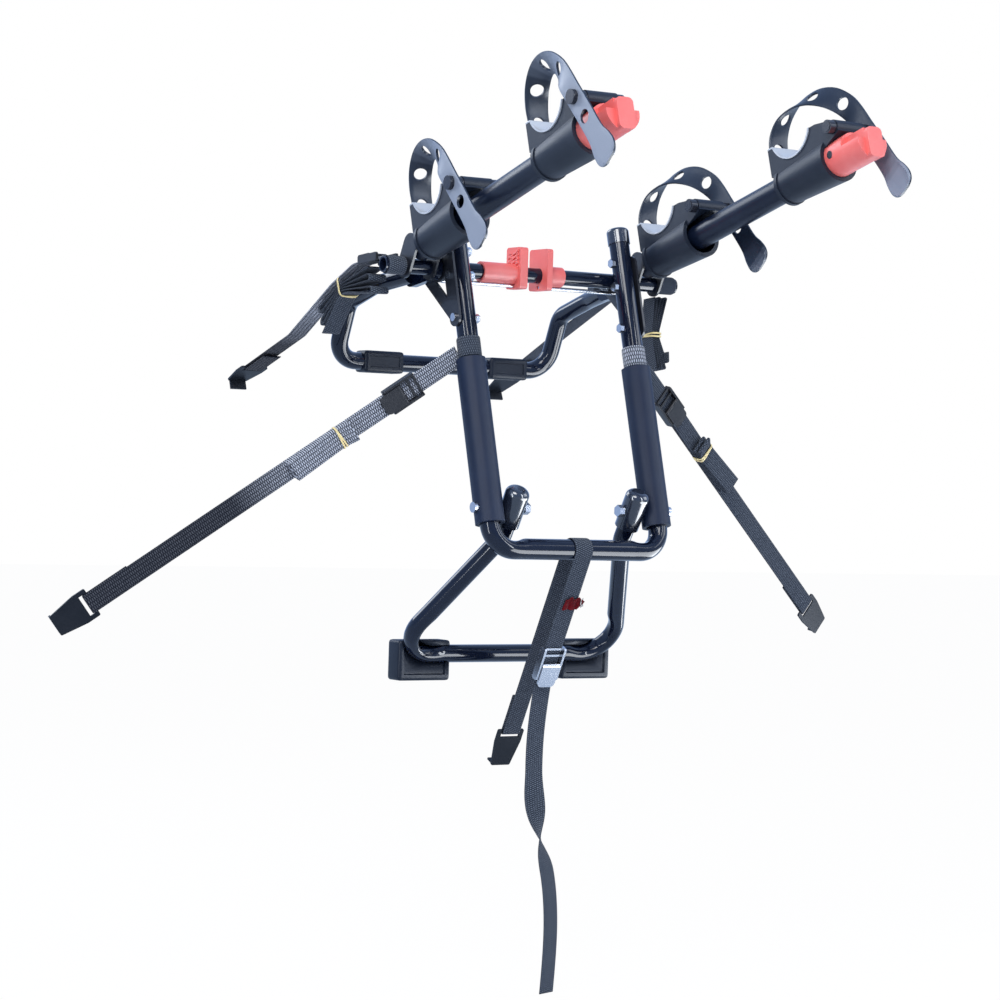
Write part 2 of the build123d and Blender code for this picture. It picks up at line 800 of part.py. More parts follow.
def grip_bores(side):
    reach = side * (plate_x - soft_gap)
    centre = rod((-reach, hub_y, hub_z), (reach, hub_y, hub_z), cross_tube_d / 2 + bolt_play)
    rod_z = hub_z - rod_below
    return centre + rod((0, hub_y, rod_z), (reach, hub_y, rod_z), rod_r + bolt_play / 3)


def grip_left():
    shape = squeeze_grip(-1, grip_left_out, grip_left_in, grip_left_thick, grip_left_deep, grip_left_in)
    pitch = (grip_top + grip_bottom - 2 * grip_round) / grip_rib_count
    for i in range(grip_rib_count):
        z = hub_z + grip_top - grip_round - (i + 1 / 2) * pitch
        if z > hub_z + grip_r + grip_rib:
            rib_long = grip_left_deep - 3 * grip_round
            rib = Pos(-grip_left_in, hub_y, z) * Box(2 * grip_rib, rib_long, pitch / 2)
            shape += rib
    return shape - grip_bores(-1)


def grip_right():
    start = grip_right_in - grip_right_thick
    shape = squeeze_grip(1, grip_right_out, start, grip_right_thick, grip_right_deep, start)
    return shape - grip_bores(1)


def pull_rod(side, start):
    rod_z = hub_z - rod_below
    end = side * (plate_x - soft_gap)
    return rod((side * start, hub_y, rod_z), (end, hub_y, rod_z), rod_r)


keep("squeeze_grip_left", grip_left())
keep("squeeze_grip_right", grip_right())
keep("pull_rod_left", pull_rod(-1, grip_left_in - grip_left_thick + grip_rib))
keep("pull_rod_right", pull_rod(1, grip_right_in - grip_right_thick + grip_rib))


# Every strap has its own frame of reference: x runs along it, y across it and z outwards
def strap_plane(start, run, outwards):
    x_dir = unit(Vector(*run))
    side = Vector(*outwards).cross(x_dir)
    return Plane(origin=start, x_dir=x_dir, z_dir=x_dir.cross(unit(side)))


across_strap = (0, 1, 0)
layer_apart = hook_thick + webbing_thick + 2 * soft_gap


def strap_loop():
    start = upright_point(1, loop_along - webbing_wide / 2)
    end = upright_point(1, loop_along + webbing_wide / 2)
    bore_r = main_tube_d / 2 + soft_gap
    return rod(start, end, bore_r + webbing_thick, bore_r)


# A strap that runs round the end bar of a hook's slot and back to its stitching
def hooked_strap(start, end, stitch_back):
    points = [(start, 0, 0), (end, 0, 0), (end, 0, -layer_apart), (end - stitch_back, 0, -layer_apart)]
    turn_r = layer_apart * turn_share
    return ribbon(points, [turn_r, turn_r], across_strap)


def flat_hook(end):
    slot_from = end - layer_apart / 2
    slot_centre = slot_from + hook_slot_high / 2
    back = slot_from - hook_slot_edge
    tip = back + hook_long
    outline = Polygon(
        (back, -hook_wide / 2), (back + hook_long / 3, -hook_wide / 2), (tip, -hook_tip_wide / 2),
        (tip, hook_tip_wide / 2), (back + hook_long / 3, hook_wide / 2), (back, hook_wide / 2), align=None
    )
    outline = fillet(outline.vertices(), hook_slot_edge / 2)
    outline -= Pos(slot_centre, 0) * Rectangle(hook_slot_high, hook_slot_wide)
    plate = Pos(0, 0, -layer_apart / 2 - hook_thick / 2) * extrude(outline, hook_thick)
    lip_x = tip - hook_thick / 2
    lip = Pos(lip_x, 0, -layer_apart / 2 - hook_lip / 2) * Box(hook_thick, hook_tip_wide - hook_slot_edge, hook_lip)
    return plate + lip


def buckle_frame(centre):
    rail_y = webbing_wide / 2 + soft_gap + buckle_rail / 2
    rail_low = -webbing_thick / 2 - soft_gap - buckle_bar_thick
    shape = None
    for side in (-1, 1):
        rail = Pos(centre, side * rail_y, rail_low + buckle_high / 2) * Box(buckle_long, buckle_rail, buckle_high)
        rail = chamfer(rail.edges().filter_by(Axis.Y), buckle_rail / 2)
        shape = rail if shape is None else shape + rail
    span = 2 * rail_y
    under = Pos(centre - buckle_bar, 0, rail_low + buckle_bar_thick / 2)
    over_z = webbing_thick / 2 + soft_gap + buckle_bar_thick / 2
    over = Pos(centre - buckle_long / 2 + buckle_rail / 2, 0, over_z)
    between = Pos(centre - buckle_long * buckle_window_share, 0, over_z)
    shape += under * Box(2 * buckle_bar, span, buckle_bar_thick)
    shape += over * Box(buckle_rail, span, buckle_bar_thick)
    shape += between * Box(buckle_rail, span, buckle_bar_thick)
    pin = Pos(lever_spot(centre)) * Rot(90, 0, 0) * Cylinder(lever_pin_r, span)
    return shape + pin


def lever_spot(centre):
    return Vector(centre + lever_ahead, 0, webbing_thick / 2 + soft_gap + lever_barrel_r + soft_gap)


def cam_lever(centre):
    spot = lever_spot(centre)
    wide = webbing_wide - soft_gap
    barrel = Pos(spot) * Rot(90, 0, 0) * Cylinder(lever_barrel_r, wide)
    tab_z = spot.Z + lever_barrel_r - lever_thick / 2
    tab = Pos(spot.X + lever_long / 2, 0, tab_z) * Box(lever_long, wide, lever_thick)
    tab = fillet(tab.edges().filter_by(Axis.Z).group_by(Axis.X)[-1], lever_thick * 2)
    return barrel + tab - Pos(spot) * Rot(90, 0, 0) * Cylinder(lever_pin_r + bolt_play / 2, 2 * wide)


# Spare webbing folded to and fro, drawn in at the waist where its rubber band sits
def hank_points(back, front, waist, folds, fan, lift, head, tail):
    points = []
    for i in range(folds):
        end_z = webbing_thick + fold_gap + lift + i * fan
        ends = [(back, 0, end_z), (front, 0, end_z)]
        middle = (waist, 0, (i + 1) * (webbing_thick + fold_gap))
        if i % 2:
            ends = ends[::-1]
        points += [ends[0], middle, ends[1]]
    x, y, z = points[0]
    points[0] = (x - head, y, z)
    if tail:
        x, y, z = points[-1]
        points.append((x - tail, y, z))
    return points


# Bend radii as large as each pair of runs allows, up to a largest one
def bend_radii(points, run_share, largest):
    radii = []
    for before, here, after in zip(points, points[1:], points[2:]):
        come = Vector(*here) - Vector(*before)
        go = Vector(*after) - Vector(*here)
        half_turn = radians(come.get_angle(go)) / 2
        radii.append(min(largest, run_share * min(come.length, go.length) / tan(half_turn)))
    return radii


def hank(name, back, front, waist, folds, fan, lift, head=0.0, tail=0.0):
    points = hank_points(back, front, waist, folds, fan, lift, head, tail)
    path = FilletPolyline(*points, radius=bend_radii(points, hank_run_share, (front - back) / 4))
    at = Plane(origin=path @ 0, z_dir=path % 0, x_dir=across_strap)
    shape = sweep(at * Rectangle(webbing_wide, webbing_thick), path=path)
    print(f"{name}: least gap {least_gap(path, (front - back) / 2):.2f} mm")
    return shape


def stack_high(folds):
    return folds * (webbing_thick + fold_gap) + webbing_thick / 2


# The least clear distance between two layers, measured on points along the path
def least_gap(path, apart):
    count = 700
    spots = [path @ (i / count) for i in range(count + 1)]
    step = path.length / count
    skip = int(3 * fold_fan / step)
    least = apart
    for i, a in enumerate(spots):
        for b in spots[i + skip:]:
            least = min(least, (a - b).length - webbing_thick)
    return least


def rubber_band(at, low, high):
    outer_wide = webbing_wide + 2 * band_room + 2 * band_thick
    outer_high = high - low + 2 * band_room + 2 * band_thick
    middle = Pos(at, 0, (high + low) / 2)
    shape = middle * Box(band_wide, outer_wide, outer_high)
    shape = fillet(shape.edges().filter_by(Axis.X), band_thick)
    return shape - middle * Box(2 * band_wide, webbing_wide + 2 * band_room, high - low + 2 * band_room)


# Side straps
side_run = (side_out, side_ahead, -side_drop)
rear = (0, -1, 0)
start_y, start_z = on_upright(loop_along)
side_plane = strap_plane((frame_half, start_y, start_z), side_run, rear)
loop = strap_loop()
keep("side_strap_loops", Compound(children=[loop, other_side(loop)]))
loop_r = main_tube_d / 2 + soft_gap + webbing_thick
round_loop = rod(upright_point(1, sleeve_to), upright_point(1, upright_long), loop_r + soft_gap)
round_sleeve = rod(upright_point(1, 0), upright_point(1, sleeve_to + soft_gap), sleeve_d / 2 + soft_gap)
side_web = side_plane * hooked_strap(0, side_hook_at, side_stitch_back) - round_loop - round_sleeve
keep("side_webbing_right", side_web)
keep("side_webbing_left", other_side(side_web))

side_hank_back = side_band_at - (side_hank_to - side_band_at) / 4
side_head = side_hank_back - side_buckle_at - buckle_long / 2 - soft_gap
side_hank_shape = side_plane * hank(
    "side hank", side_hank_back, side_hank_to, side_band_at, side_folds, side_fan, side_hank_lift, side_head
)
keep("side_hank_right", side_hank_shape)
keep("side_hank_left", other_side(side_hank_shape))

# Upper straps
upper_start = Vector(upper_strap_x, hub_y, hub_z + cross_tube_d / 2 + soft_gap + webbing_thick / 2)
upper_slope = atan2(upper_strap_drop, upper_strap_run)


def upper_points(shares):
    points = [tuple(upper_start)]
    for along, down in shares:
        points.append(tuple(upper_start + Vector(0, along * upper_strap_run, -down * upper_strap_drop)))
    return points


def upper_strap(shares):
    bore_r = cross_tube_d / 2 + soft_gap
    start = (upper_strap_x - webbing_wide / 2, hub_y, hub_z)
    end = (upper_strap_x + webbing_wide / 2, hub_y, hub_z)
    loop = rod(start, end, bore_r + webbing_thick, bore_r)
    points = upper_points(shares)
    last = Vector(*points[-1])
    run = unit(last - Vector(*points[-2]))
    down = run.cross(Vector(1, 0, 0))
    turned = last - down * layer_apart if down.Z > 0 else last + down * layer_apart
    back = turned - run * upper_stitch_back
    points += [tuple(turned), tuple(back)]
    turn_r = layer_apart * turn_share
    bends = [upper_strap_bend_r] * (len(shares) - 1) + [turn_r, turn_r]
    return loop + ribbon(points, bends, (1, 0, 0)), strap_plane(last, run, (0, 0, 1))


upper_right, upper_right_end = upper_strap(upper_right_shares)
upper_left, upper_left_end = upper_strap(upper_left_shares)
keep("upper_webbing_right", upper_right)
keep("upper_webbing_left", other_side(upper_left))


# The left upper hank lies under its strap, and the right one hangs down from its own
left_from = Vector(0, left_hank_from, -left_hank_from * left_hank_start_share)
left_plane = strap_plane(upper_start + left_from, (0, 1, -left_hank_slope_share), (0, 0, -1))
left_waist = left_hank_long * left_waist_share
left_hank = left_plane * hank(
    "left upper hank", 0, left_hank_long, left_waist, upper_folds, fold_fan, left_hank_lift
)
keep("upper_hank_left", other_side(left_hank))
right_start = (upper_strap_x, hub_y + right_hank_ahead, hub_z - right_hank_drop)
right_plane = strap_plane(right_start, (0, -right_hank_lean_share, -1), (0, 1, 0))
right_waist = right_hank_long * right_waist_share
right_tail = right_hank_drop + cross_tube_d / 2 - right_hank_short
right_hank = right_plane * hank(
    "right upper hank", 0, right_hank_long, right_waist, upper_folds, fold_fan, left_hank_lift, 0, right_tail
)
keep("upper_hank_right", right_hank)

# Rubber bands round the waists of the hanks
side_top = stack_high(side_folds) + side_band_slack
upper_top = stack_high(upper_folds) + upper_band_slack
side_band = side_plane * rubber_band(side_band_at, -webbing_thick / 2, side_top)
left_band = left_plane * rubber_band(left_waist, left_band_low, upper_top)
right_band = right_plane * rubber_band(right_waist, webbing_thick / 2 + fold_gap, upper_top)
bands = [side_band, other_side(side_band), other_side(left_band), right_band]
keep("rubber_bands", Compound(children=bands))

# Flat hooks, coated black, at the far ends of the four long straps
hooks = []
side_hook = side_plane * flat_hook(side_hook_at)
right_hook = upper_right_end * flat_hook(0)
left_hook = other_side(upper_left_end * flat_hook(0))
keep("strap_hooks", Compound(children=[side_hook, other_side(side_hook), right_hook, left_hook]))

# Cam buckles and their levers
upper_buckle_at = upper_buckle_share * upper_strap_run
first_drop_share = upper_left_shares[0][1] / upper_left_shares[0][0]
buckle_slope = (0, upper_strap_run, -first_drop_share * upper_strap_drop)
upper_left_plane = strap_plane(tuple(upper_start), buckle_slope, (0, 0, 1))
first_drop_share = upper_right_shares[0][1] / upper_right_shares[0][0]
buckle_slope = (0, upper_strap_run, -first_drop_share * upper_strap_drop)
upper_right_plane = strap_plane(tuple(upper_start), buckle_slope, (0, 0, 1))
side_frame = side_plane * buckle_frame(side_buckle_at)
right_frame = upper_right_plane * buckle_frame(upper_buckle_at)
left_frame = other_side(upper_left_plane * buckle_frame(upper_buckle_at))
keep("strap_buckles", Compound(children=[side_frame, other_side(side_frame), right_frame, left_frame]))
side_lever = side_plane * cam_lever(side_buckle_at)
keep("side_lever_right", side_lever)
keep("side_lever_left", other_side(side_lever))
keep("upper_lever_right", upper_right_plane * cam_lever(upper_buckle_at))
keep("upper_lever_left", other_side(upper_left_plane * cam_lever(upper_buckle_at)))

# Bottom strap: one length of webbing from its hook, over the crossbar and down to its buckle
bottom_tilt = radians(bottom_angle)
bottom_down = Vector(0, sin(bottom_tilt), -cos(bottom_tilt))
bottom_plane = strap_plane((0, -crossbar_back, crossbar_rise), tuple(bottom_down), rear)
wrap_r = main_tube_d / 2 + soft_gap + webbing_thick / 2


def bottom_webbing():
    back = -wrap_r
    front = wrap_r
    under = back - layer_apart
    points = [
        (bottom_hook_at - bottom_stitch_back, 0, under), (bottom_hook_at, 0, under), (bottom_hook_at, 0, back),
        (-wrap_r, 0, back), (-wrap_r, 0, front), (bottom_buckle_at + buckle_long / 2, 0, front)
    ]
    turn_r = layer_apart * turn_share
    return ribbon(points, [turn_r, turn_r, wrap_r * wrap_share, wrap_r * wrap_share], across_strap)


keep("bottom_webbing", bottom_plane * bottom_webbing())
bottom_front = bottom_plane * Pos(0, 0, wrap_r)
keep("bottom_buckle", bottom_front * buckle_frame(bottom_buckle_at))
keep("bottom_lever", bottom_front * cam_lever(bottom_buckle_at))
keep("bottom_hook", bottom_plane * Pos(0, 0, -wrap_r) * flat_hook(bottom_hook_at))
tag_z = webbing_thick / 2 + tag_thick / 2
tag_x = webbing_wide / 2 - tag_wide / 4
tag = Pos(tag_at, tag_x, tag_z) * Box(tag_wide, tag_long, tag_thick)
keep("warning_tag", bottom_front * tag)


# Free tail of the bottom strap, hanging from the buckle to its cut end
def bottom_tail():
    points = [(0, y - crossbar_back, z + crossbar_rise) for y, z in tail_route]
    radii = bend_radii(points, tail_run_share, upright_long)
    print("tail radii:", ", ".join(f"{r:.0f}" for r in radii))
    return ribbon(points, radii, (1, 0, 0))


keep("bottom_strap_tail", bottom_tail())
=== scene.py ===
from math import cos, pi, radians, sin, tan

import bmesh
import bpy
from mathutils import Matrix, Vector


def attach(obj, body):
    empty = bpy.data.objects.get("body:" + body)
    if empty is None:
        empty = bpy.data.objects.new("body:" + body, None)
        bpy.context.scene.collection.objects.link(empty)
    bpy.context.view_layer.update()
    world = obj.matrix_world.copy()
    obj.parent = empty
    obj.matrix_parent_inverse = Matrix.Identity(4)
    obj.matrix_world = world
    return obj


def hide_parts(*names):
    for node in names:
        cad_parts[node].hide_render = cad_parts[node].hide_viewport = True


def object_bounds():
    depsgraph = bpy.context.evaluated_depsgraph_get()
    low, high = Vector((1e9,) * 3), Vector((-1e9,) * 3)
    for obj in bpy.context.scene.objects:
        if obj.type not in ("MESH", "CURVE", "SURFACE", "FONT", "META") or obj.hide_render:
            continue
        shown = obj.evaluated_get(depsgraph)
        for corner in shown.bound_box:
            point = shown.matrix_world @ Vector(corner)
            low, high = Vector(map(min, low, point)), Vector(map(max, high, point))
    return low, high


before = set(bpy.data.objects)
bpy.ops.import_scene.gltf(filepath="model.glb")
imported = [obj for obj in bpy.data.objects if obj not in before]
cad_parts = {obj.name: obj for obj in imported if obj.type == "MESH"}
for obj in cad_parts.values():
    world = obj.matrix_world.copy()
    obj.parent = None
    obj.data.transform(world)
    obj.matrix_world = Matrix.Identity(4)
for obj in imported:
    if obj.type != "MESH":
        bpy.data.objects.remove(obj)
cad_box = [[float(c) for c in corner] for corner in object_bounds()]
mm = 0.001

# Viewpoint: the rack is seen from behind and from its left, level with the upper tubes, through
# a long lens that is rolled by a little.
view_turn = radians(-33.0)
view_rise = radians(0.4)
view_roll = radians(1.8)
view_from = (-1.9994, -3.0804, 0.2168)
back = Vector((sin(view_turn) * cos(view_rise), -cos(view_turn) * cos(view_rise), sin(view_rise)))
level = (-back).cross(Vector((0, 0, 1))).normalized()
upward = level.cross(-back)
picture_right = level * cos(view_roll) + upward * sin(view_roll)
picture_up = upward * cos(view_roll) - level * sin(view_roll)
camera = bpy.data.objects.new("camera", bpy.data.cameras.new("camera"))
bpy.context.scene.collection.objects.link(camera)
camera.data.sensor_width = 36.0
camera.data.lens = 105.1
camera.data.clip_end = 50.0
turned = Matrix((picture_right, picture_up, back)).transposed().to_4x4()
camera.matrix_world = Matrix.Translation(view_from) @ turned
bpy.context.scene.camera = camera
bpy.context.scene.view_settings.view_transform = "Standard"

# Free tail of the bottom strap: black polyester webbing, 25 mm wide and woven in raised ribs.
# It leaves the cam buckle, hangs down and turns over on itself once; its end is cut and bare.
webbing_wide = 25 * mm
webbing_thick = 1.5 * mm
rib_pitch = 2.4 * mm
row_pitch = 3.1 * mm
thread_high = 0.7 * mm
rib_sharpness = 1.7
bead_softness = 0.45
# How fast and how far the painted sheen of the lit copies of the webbing dims past its end
sheen_dim_per_metre = 11.0
sheen_dim_share = 0.86
fluff_scale = 420.0
fluff_floor = 0.35
matte_thread, thread_shine = 0.82, 0.3
whole_strap = 10.0


def feed(tree, socket, source):
    if isinstance(source, bpy.types.NodeSocket):
        tree.links.new(source, socket)
    else:
        socket.default_value = source


def calc(tree, action, first, second=0.5):
    node = tree.nodes.new("ShaderNodeMath")
    node.operation = action
    feed(tree, node.inputs[0], first)
    feed(tree, node.inputs[1], second)
    return node.outputs[0]


# Mixes two colours; of the mix node's sockets these three are the ones that carry colour
def mixed(tree, share, first, second):
    colour_from, colour_to, colour_out = 6, 7, 2
    mix = tree.nodes.new("ShaderNodeMix")
    mix.data_type = "RGBA"
    feed(tree, mix.inputs["Factor"], share)
    feed(tree, mix.inputs[colour_from], first)
    feed(tree, mix.inputs[colour_to], second)
    return mix.outputs[colour_out]


def mottle(tree, place, scale, detail):
    texture = tree.nodes.new("ShaderNodeTexNoise")
    tree.links.new(place, texture.inputs["Vector"])
    feed(tree, texture.inputs["Scale"], scale)
    texture.inputs["Detail"].default_value = detail
    return texture.outputs[0]


def raised(tree, height, strength, distance):
    bump = tree.nodes.new("ShaderNodeBump")
    bump.inputs["Distance"].default_value = distance
    feed(tree, bump.inputs["Strength"], strength)
    feed(tree, bump.inputs["Height"], height)
    return bump.outputs[0]


def surface_group(name, numbers, colours):
    group = bpy.data.node_groups.new(name, "ShaderNodeTree")
    for title, value, low, high in numbers:
        socket = group.interface.new_socket(title, in_out="INPUT", socket_type="NodeSocketFloat")
        socket.default_value, socket.min_value, socket.max_value = value, low, high
    for title in colours:
        group.interface.new_socket(title, in_out="INPUT", socket_type="NodeSocketColor")
    for title, kind in (("Color", "Color"), ("Roughness", "Float"), ("Normal", "Vector")):
        group.interface.new_socket(title, in_out="OUTPUT", socket_type=f"NodeSocket{kind}")
    fed = group.nodes.new("NodeGroupInput").outputs
    return group, fed, group.nodes.new("NodeGroupOutput").inputs


# Colour follows the weave's relief: painted sheen on the tops of the ribs and painted shade in the gaps
# between them, with a random mottle, dimmed past a set length of strap.
def weave_group():
    group, fed, out = surface_group("ribbed_weave", (
        ("Rib Pitch", rib_pitch, 0.2 * mm, 20 * mm), ("Row Pitch", row_pitch, 0.2 * mm, 20 * mm),
        ("Depth", 0.6, 0.0, 1.0), ("Painted Sheen Until", whole_strap, 0.0, whole_strap)
    ), ("Gap Shade", "Rib Sheen"))
    strip_map = group.nodes.new("ShaderNodeUVMap")
    strip_map.uv_map = "strip"
    split = group.nodes.new("ShaderNodeSeparateXYZ")
    group.links.new(strip_map.outputs[0], split.inputs[0])
    length, width = split.outputs[0], split.outputs[1]
    row = calc(group, "DIVIDE", width, fed["Row Pitch"])
    half_step = calc(group, "MULTIPLY", calc(group, "FLOOR", row), 0.5)
    along = calc(group, "ADD", calc(group, "DIVIDE", length, fed["Rib Pitch"]), half_step)
    rib = calc(group, "SINE", calc(group, "MULTIPLY", calc(group, "FRACT", along), pi))
    bead = calc(group, "SINE", calc(group, "MULTIPLY", calc(group, "FRACT", row), pi))
    sharp_rib = calc(group, "POWER", rib, rib_sharpness)
    weave = calc(group, "MULTIPLY", sharp_rib, calc(group, "POWER", bead, bead_softness))
    body = group.nodes.new("ShaderNodeTexCoord")
    fluff = calc(group, "ADD", mottle(group, body.outputs["Object"], fluff_scale, 3.0), fluff_floor)
    # Past the length where it ends, the painted sheen on the ribs dims.
    past = calc(group, "MULTIPLY", calc(group, "SUBTRACT", length, fed["Painted Sheen Until"]), sheen_dim_per_metre)
    sheen_dimmed = calc(group, "MINIMUM", calc(group, "MAXIMUM", past, 0.0), 1.0)
    sheen_kept = calc(group, "SUBTRACT", 1.0, calc(group, "MULTIPLY", sheen_dimmed, sheen_dim_share))
    painted_sheen_share = calc(group, "MULTIPLY", calc(group, "MULTIPLY", weave, sheen_kept), fluff)
    group.links.new(mixed(group, painted_sheen_share, fed["Gap Shade"], fed["Rib Sheen"]), out["Color"])
    rough = calc(group, "SUBTRACT", matte_thread, calc(group, "MULTIPLY", painted_sheen_share, thread_shine))
    group.links.new(rough, out["Roughness"])
    group.links.new(raised(group, weave, fed["Depth"], thread_high), out["Normal"])
    return group


def finish_of(name, **values):
    material = bpy.data.materials.new(name)
    material.use_nodes = True
    shader = material.node_tree.nodes["Principled BSDF"]
    for socket, value in values.items():
        shader.inputs[socket.replace("_", " ")].default_value = value
    return material, material.node_tree, shader


# Puts a surface group in a finish, with its own values, and lets it drive colour, gloss and relief
def surfaced(group, settings, name, **values):
    material, tree, shader = finish_of(name, **values)
    surface = tree.nodes.new("ShaderNodeGroup")
    surface.node_tree = group
    for title, value in settings.items():
        surface.inputs[title].default_value = value
    for title, socket in (("Color", "Base Color"), ("Roughness", "Roughness"), ("Normal", "Normal")):
        tree.links.new(surface.outputs[title], shader.inputs[socket])
    return material


ribbed_weave = weave_group()


# The weave follows the strap, so a strip carries its own length and width as texture coordinates
def webbing_finish(name, gap_shade, rib_sheen, depth, rib=rib_pitch, row=row_pitch, sheen_until=whole_strap):
    settings = {
        "Rib Pitch": rib, "Row Pitch": row, "Depth": depth, "Painted Sheen Until": sheen_until,
        "Gap Shade": (*gap_shade, 1), "Rib Sheen": (*rib_sheen, 1)
    }
    return surfaced(
        ribbed_weave, settings, name, Sheen_Weight=0.12, Sheen_Roughness=0.5, Specular_IOR_Level=0.0
    )


# Black webbing: near-black gaps of painted shade under grey-blue rib tops of painted sheen.
black_webbing = webbing_finish("black_webbing", (0.014, 0.019, 0.030), (0.16, 0.19, 0.24), depth=0.6)


def piece_of(name, mesh, finish=None):
    data = bpy.data.meshes.new(name)
    mesh.to_mesh(data)
    mesh.free()
    if finish:
        data.materials.append(finish)
    piece = bpy.data.objects.new(name, data)
    bpy.context.scene.collection.objects.link(piece)
    return piece


# A strip of webbing laid along a line of points; across gives the way its width points at each one,
# and the shares shape a section with thinner, rounded edges
def strip_of_webbing(name, line, across, finish, wide=webbing_wide, thick=webbing_thick, ring=False):
    count = len(line)
    mesh = bmesh.new()
    coords = mesh.loops.layers.uv.new("strip")
    wide_shares = (-1.0, -0.9, -0.45, 0.0, 0.45, 0.9, 1.0)
    thick_shares = (0.35, 0.9, 1.0, 1.0, 1.0, 0.9, 0.35)
    section = [(share, lift) for share, lift in zip(wide_shares, thick_shares)]
    section += [(share, -lift) for share, lift in reversed(section)]
    rows = []
    travelled = 0.0
    for i, spot in enumerate(line):
        ahead = line[(i + 1) % count] if ring else line[min(i + 1, count - 1)]
        behind = line[i - 1] if ring else line[max(i - 1, 0)]
        run = (ahead - behind).normalized()
        side = across[i] if isinstance(across, list) else across
        side = (side - run * side.dot(run)).normalized()
        face = run.cross(side)
        if i:
            travelled += (spot - line[i - 1]).length
        loop = [spot + side * (share * wide / 2) + face * (lift * thick / 2) for share, lift in section]
        verts = [mesh.verts.new(p) for p in loop]
        rows.append((verts, [share * wide / 2 for share, _ in section], travelled))
    pairs = list(zip(rows, rows[1:]))
    if ring:
        verts, widths, _ = rows[0]
        pairs.append((rows[-1], (verts, widths, travelled + (line[0] - line[-1]).length)))
    for (here, widths, start), (there, _, end) in pairs:
        for k in range(len(here)):
            n = (k + 1) % len(here)
            face = mesh.faces.new((here[k], there[k], there[n], here[n]))
            face.smooth = True
            places = ((start, widths[k]), (end, widths[k]), (end, widths[n]), (start, widths[n]))
            for corner, place in zip(face.loops, places):
                corner[coords].uv = place
    if not ring:
        mesh.faces.new(rows[0][0])
        mesh.faces.new(list(reversed(rows[-1][0])))
    mesh.normal_update()
    return piece_of(name, mesh, finish)


crossbar_back = 178
crossbar_rise = 135
tail_turn = radians(165)
turn_from_share = 0.26
turn_over_share = 0.36
tail_route = (
    (66.2, -160.2), (77, -205), (82, -256), (79, -310), (62, -358), (42, -400),
    (33.5, -446), (34, -497), (39, -542)
)
route_data = bpy.data.curves.new("tail_route", "CURVE")
route_data.dimensions = "3D"
route = route_data.splines.new("NURBS")
route.points.add(len(tail_route) - 1)
for point, (ahead, up) in zip(route.points, tail_route):
    point.co = (0, (ahead - crossbar_back) * mm, (up + crossbar_rise) * mm, 1)
route.order_u = 3
route.use_endpoint_u = True
route.resolution_u = 24
route_piece = bpy.data.objects.new("tail_route", route_data)
bpy.context.scene.collection.objects.link(route_piece)
line_mesh = bpy.data.meshes.new_from_object(route_piece)
tail_line = [v.co.copy() for v in line_mesh.vertices]
bpy.data.objects.remove(route_piece)
bpy.data.meshes.remove(line_mesh)
tail_across = []
for i in range(len(tail_line)):
    share = i / (len(tail_line) - 1)
    ease = min(max((share - turn_from_share) / turn_over_share, 0), 1)
    turn = tail_turn * ease * ease * (3 - 2 * ease)
    tail_across.append(Vector((cos(turn), -sin(turn), 0)))
strap_tail = strip_of_webbing("bottom_strap_tail_webbing", tail_line, tail_across, black_webbing)
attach(strap_tail, "frame")
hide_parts("bottom_strap_tail")

# Main frame and lower frame: steel tubes bent cold on a press, so that each bend is flattened on
# its inner side, in thick gloss black powder coat that is dulled a little where hands and straps
# rub it. The upper frame and the cross tube have the same coat, and the arms a satin one.
grain_high = 0.4 * mm
wear_scale = 22.0
wear_sharpness = 3.0
main_tube_wide = 25.4 * mm
slim_tube_wide = 22.2 * mm
frame_half = 122 * mm
upright_long = 411
lean = radians(15.7)
main_bend = 30 * mm
foot_bend = 38 * mm
main_crush = 0.34
lower_crush = 0.36
lower_pivot_along = 50
lower_half = 88 * mm
lower_end_up = 20 * mm
lower_kink = Vector((0, 20, -35)) * mm
foot_half = 166 * mm
foot_reach = 23 * mm
tube_step = 4 * mm


def grain_group():
    group, fed, out = surface_group("surface_grain", (
        ("Scale", 300.0, 1.0, 4000.0), ("Depth", 0.2, 0.0, 1.0),
        ("Low", 0.3, 0.0, 1.0), ("High", 0.5, 0.0, 1.0)
    ), ("Color", "Worn Color"))
    body = group.nodes.new("ShaderNodeTexCoord")
    fine = mottle(group, body.outputs["Object"], fed["Scale"], 4.0)
    broad = mottle(group, body.outputs["Object"], wear_scale, 6.0)
    span = calc(group, "SUBTRACT", fed["High"], fed["Low"])
    rough = calc(group, "ADD", fed["Low"], calc(group, "MULTIPLY", span, broad))
    group.links.new(rough, out["Roughness"])
    worn = calc(group, "POWER", broad, wear_sharpness)
    patch = calc(group, "MULTIPLY", worn, calc(group, "ADD", fine, 0.5))
    group.links.new(mixed(group, patch, fed["Color"], fed["Worn Color"]), out["Color"])
    group.links.new(raised(group, fine, fed["Depth"], grain_high), out["Normal"])
    return group


surface_grain = grain_group()


def grained_finish(name, colour, worn, rough, scale=300.0, depth=0.2, **values):
    settings = {
        "Scale": scale, "Depth": depth, "Low": rough[0], "High": rough[1],
        "Color": (*colour, 1), "Worn Color": (*worn, 1)
    }
    return surfaced(surface_grain, settings, name, **values)


def dress(node, finish):
    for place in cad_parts[node].material_slots:
        place.material = finish


gloss_black = grained_finish(
    "gloss_black_powder_coat", (0.003, 0.006, 0.018), (0.012, 0.018, 0.04),
    rough=(0.09, 0.24), scale=240.0, depth=0.03,
    Coat_Weight=0.8, Coat_Roughness=0.03, Coat_IOR=1.38, Specular_IOR_Level=0.12
)
for node in ("upper_frame_tube", "cross_tube"):
    dress(node, gloss_black)
arm_satin = grained_finish(
    "satin_black_arm", (0.004, 0.008, 0.022), (0.014, 0.022, 0.045),
    rough=(0.24, 0.38), scale=500.0, depth=0.15,
    Specular_IOR_Level=0.3
)
for node in ("arm_tube_right", "arm_tube_left"):
    dress(node, arm_satin)


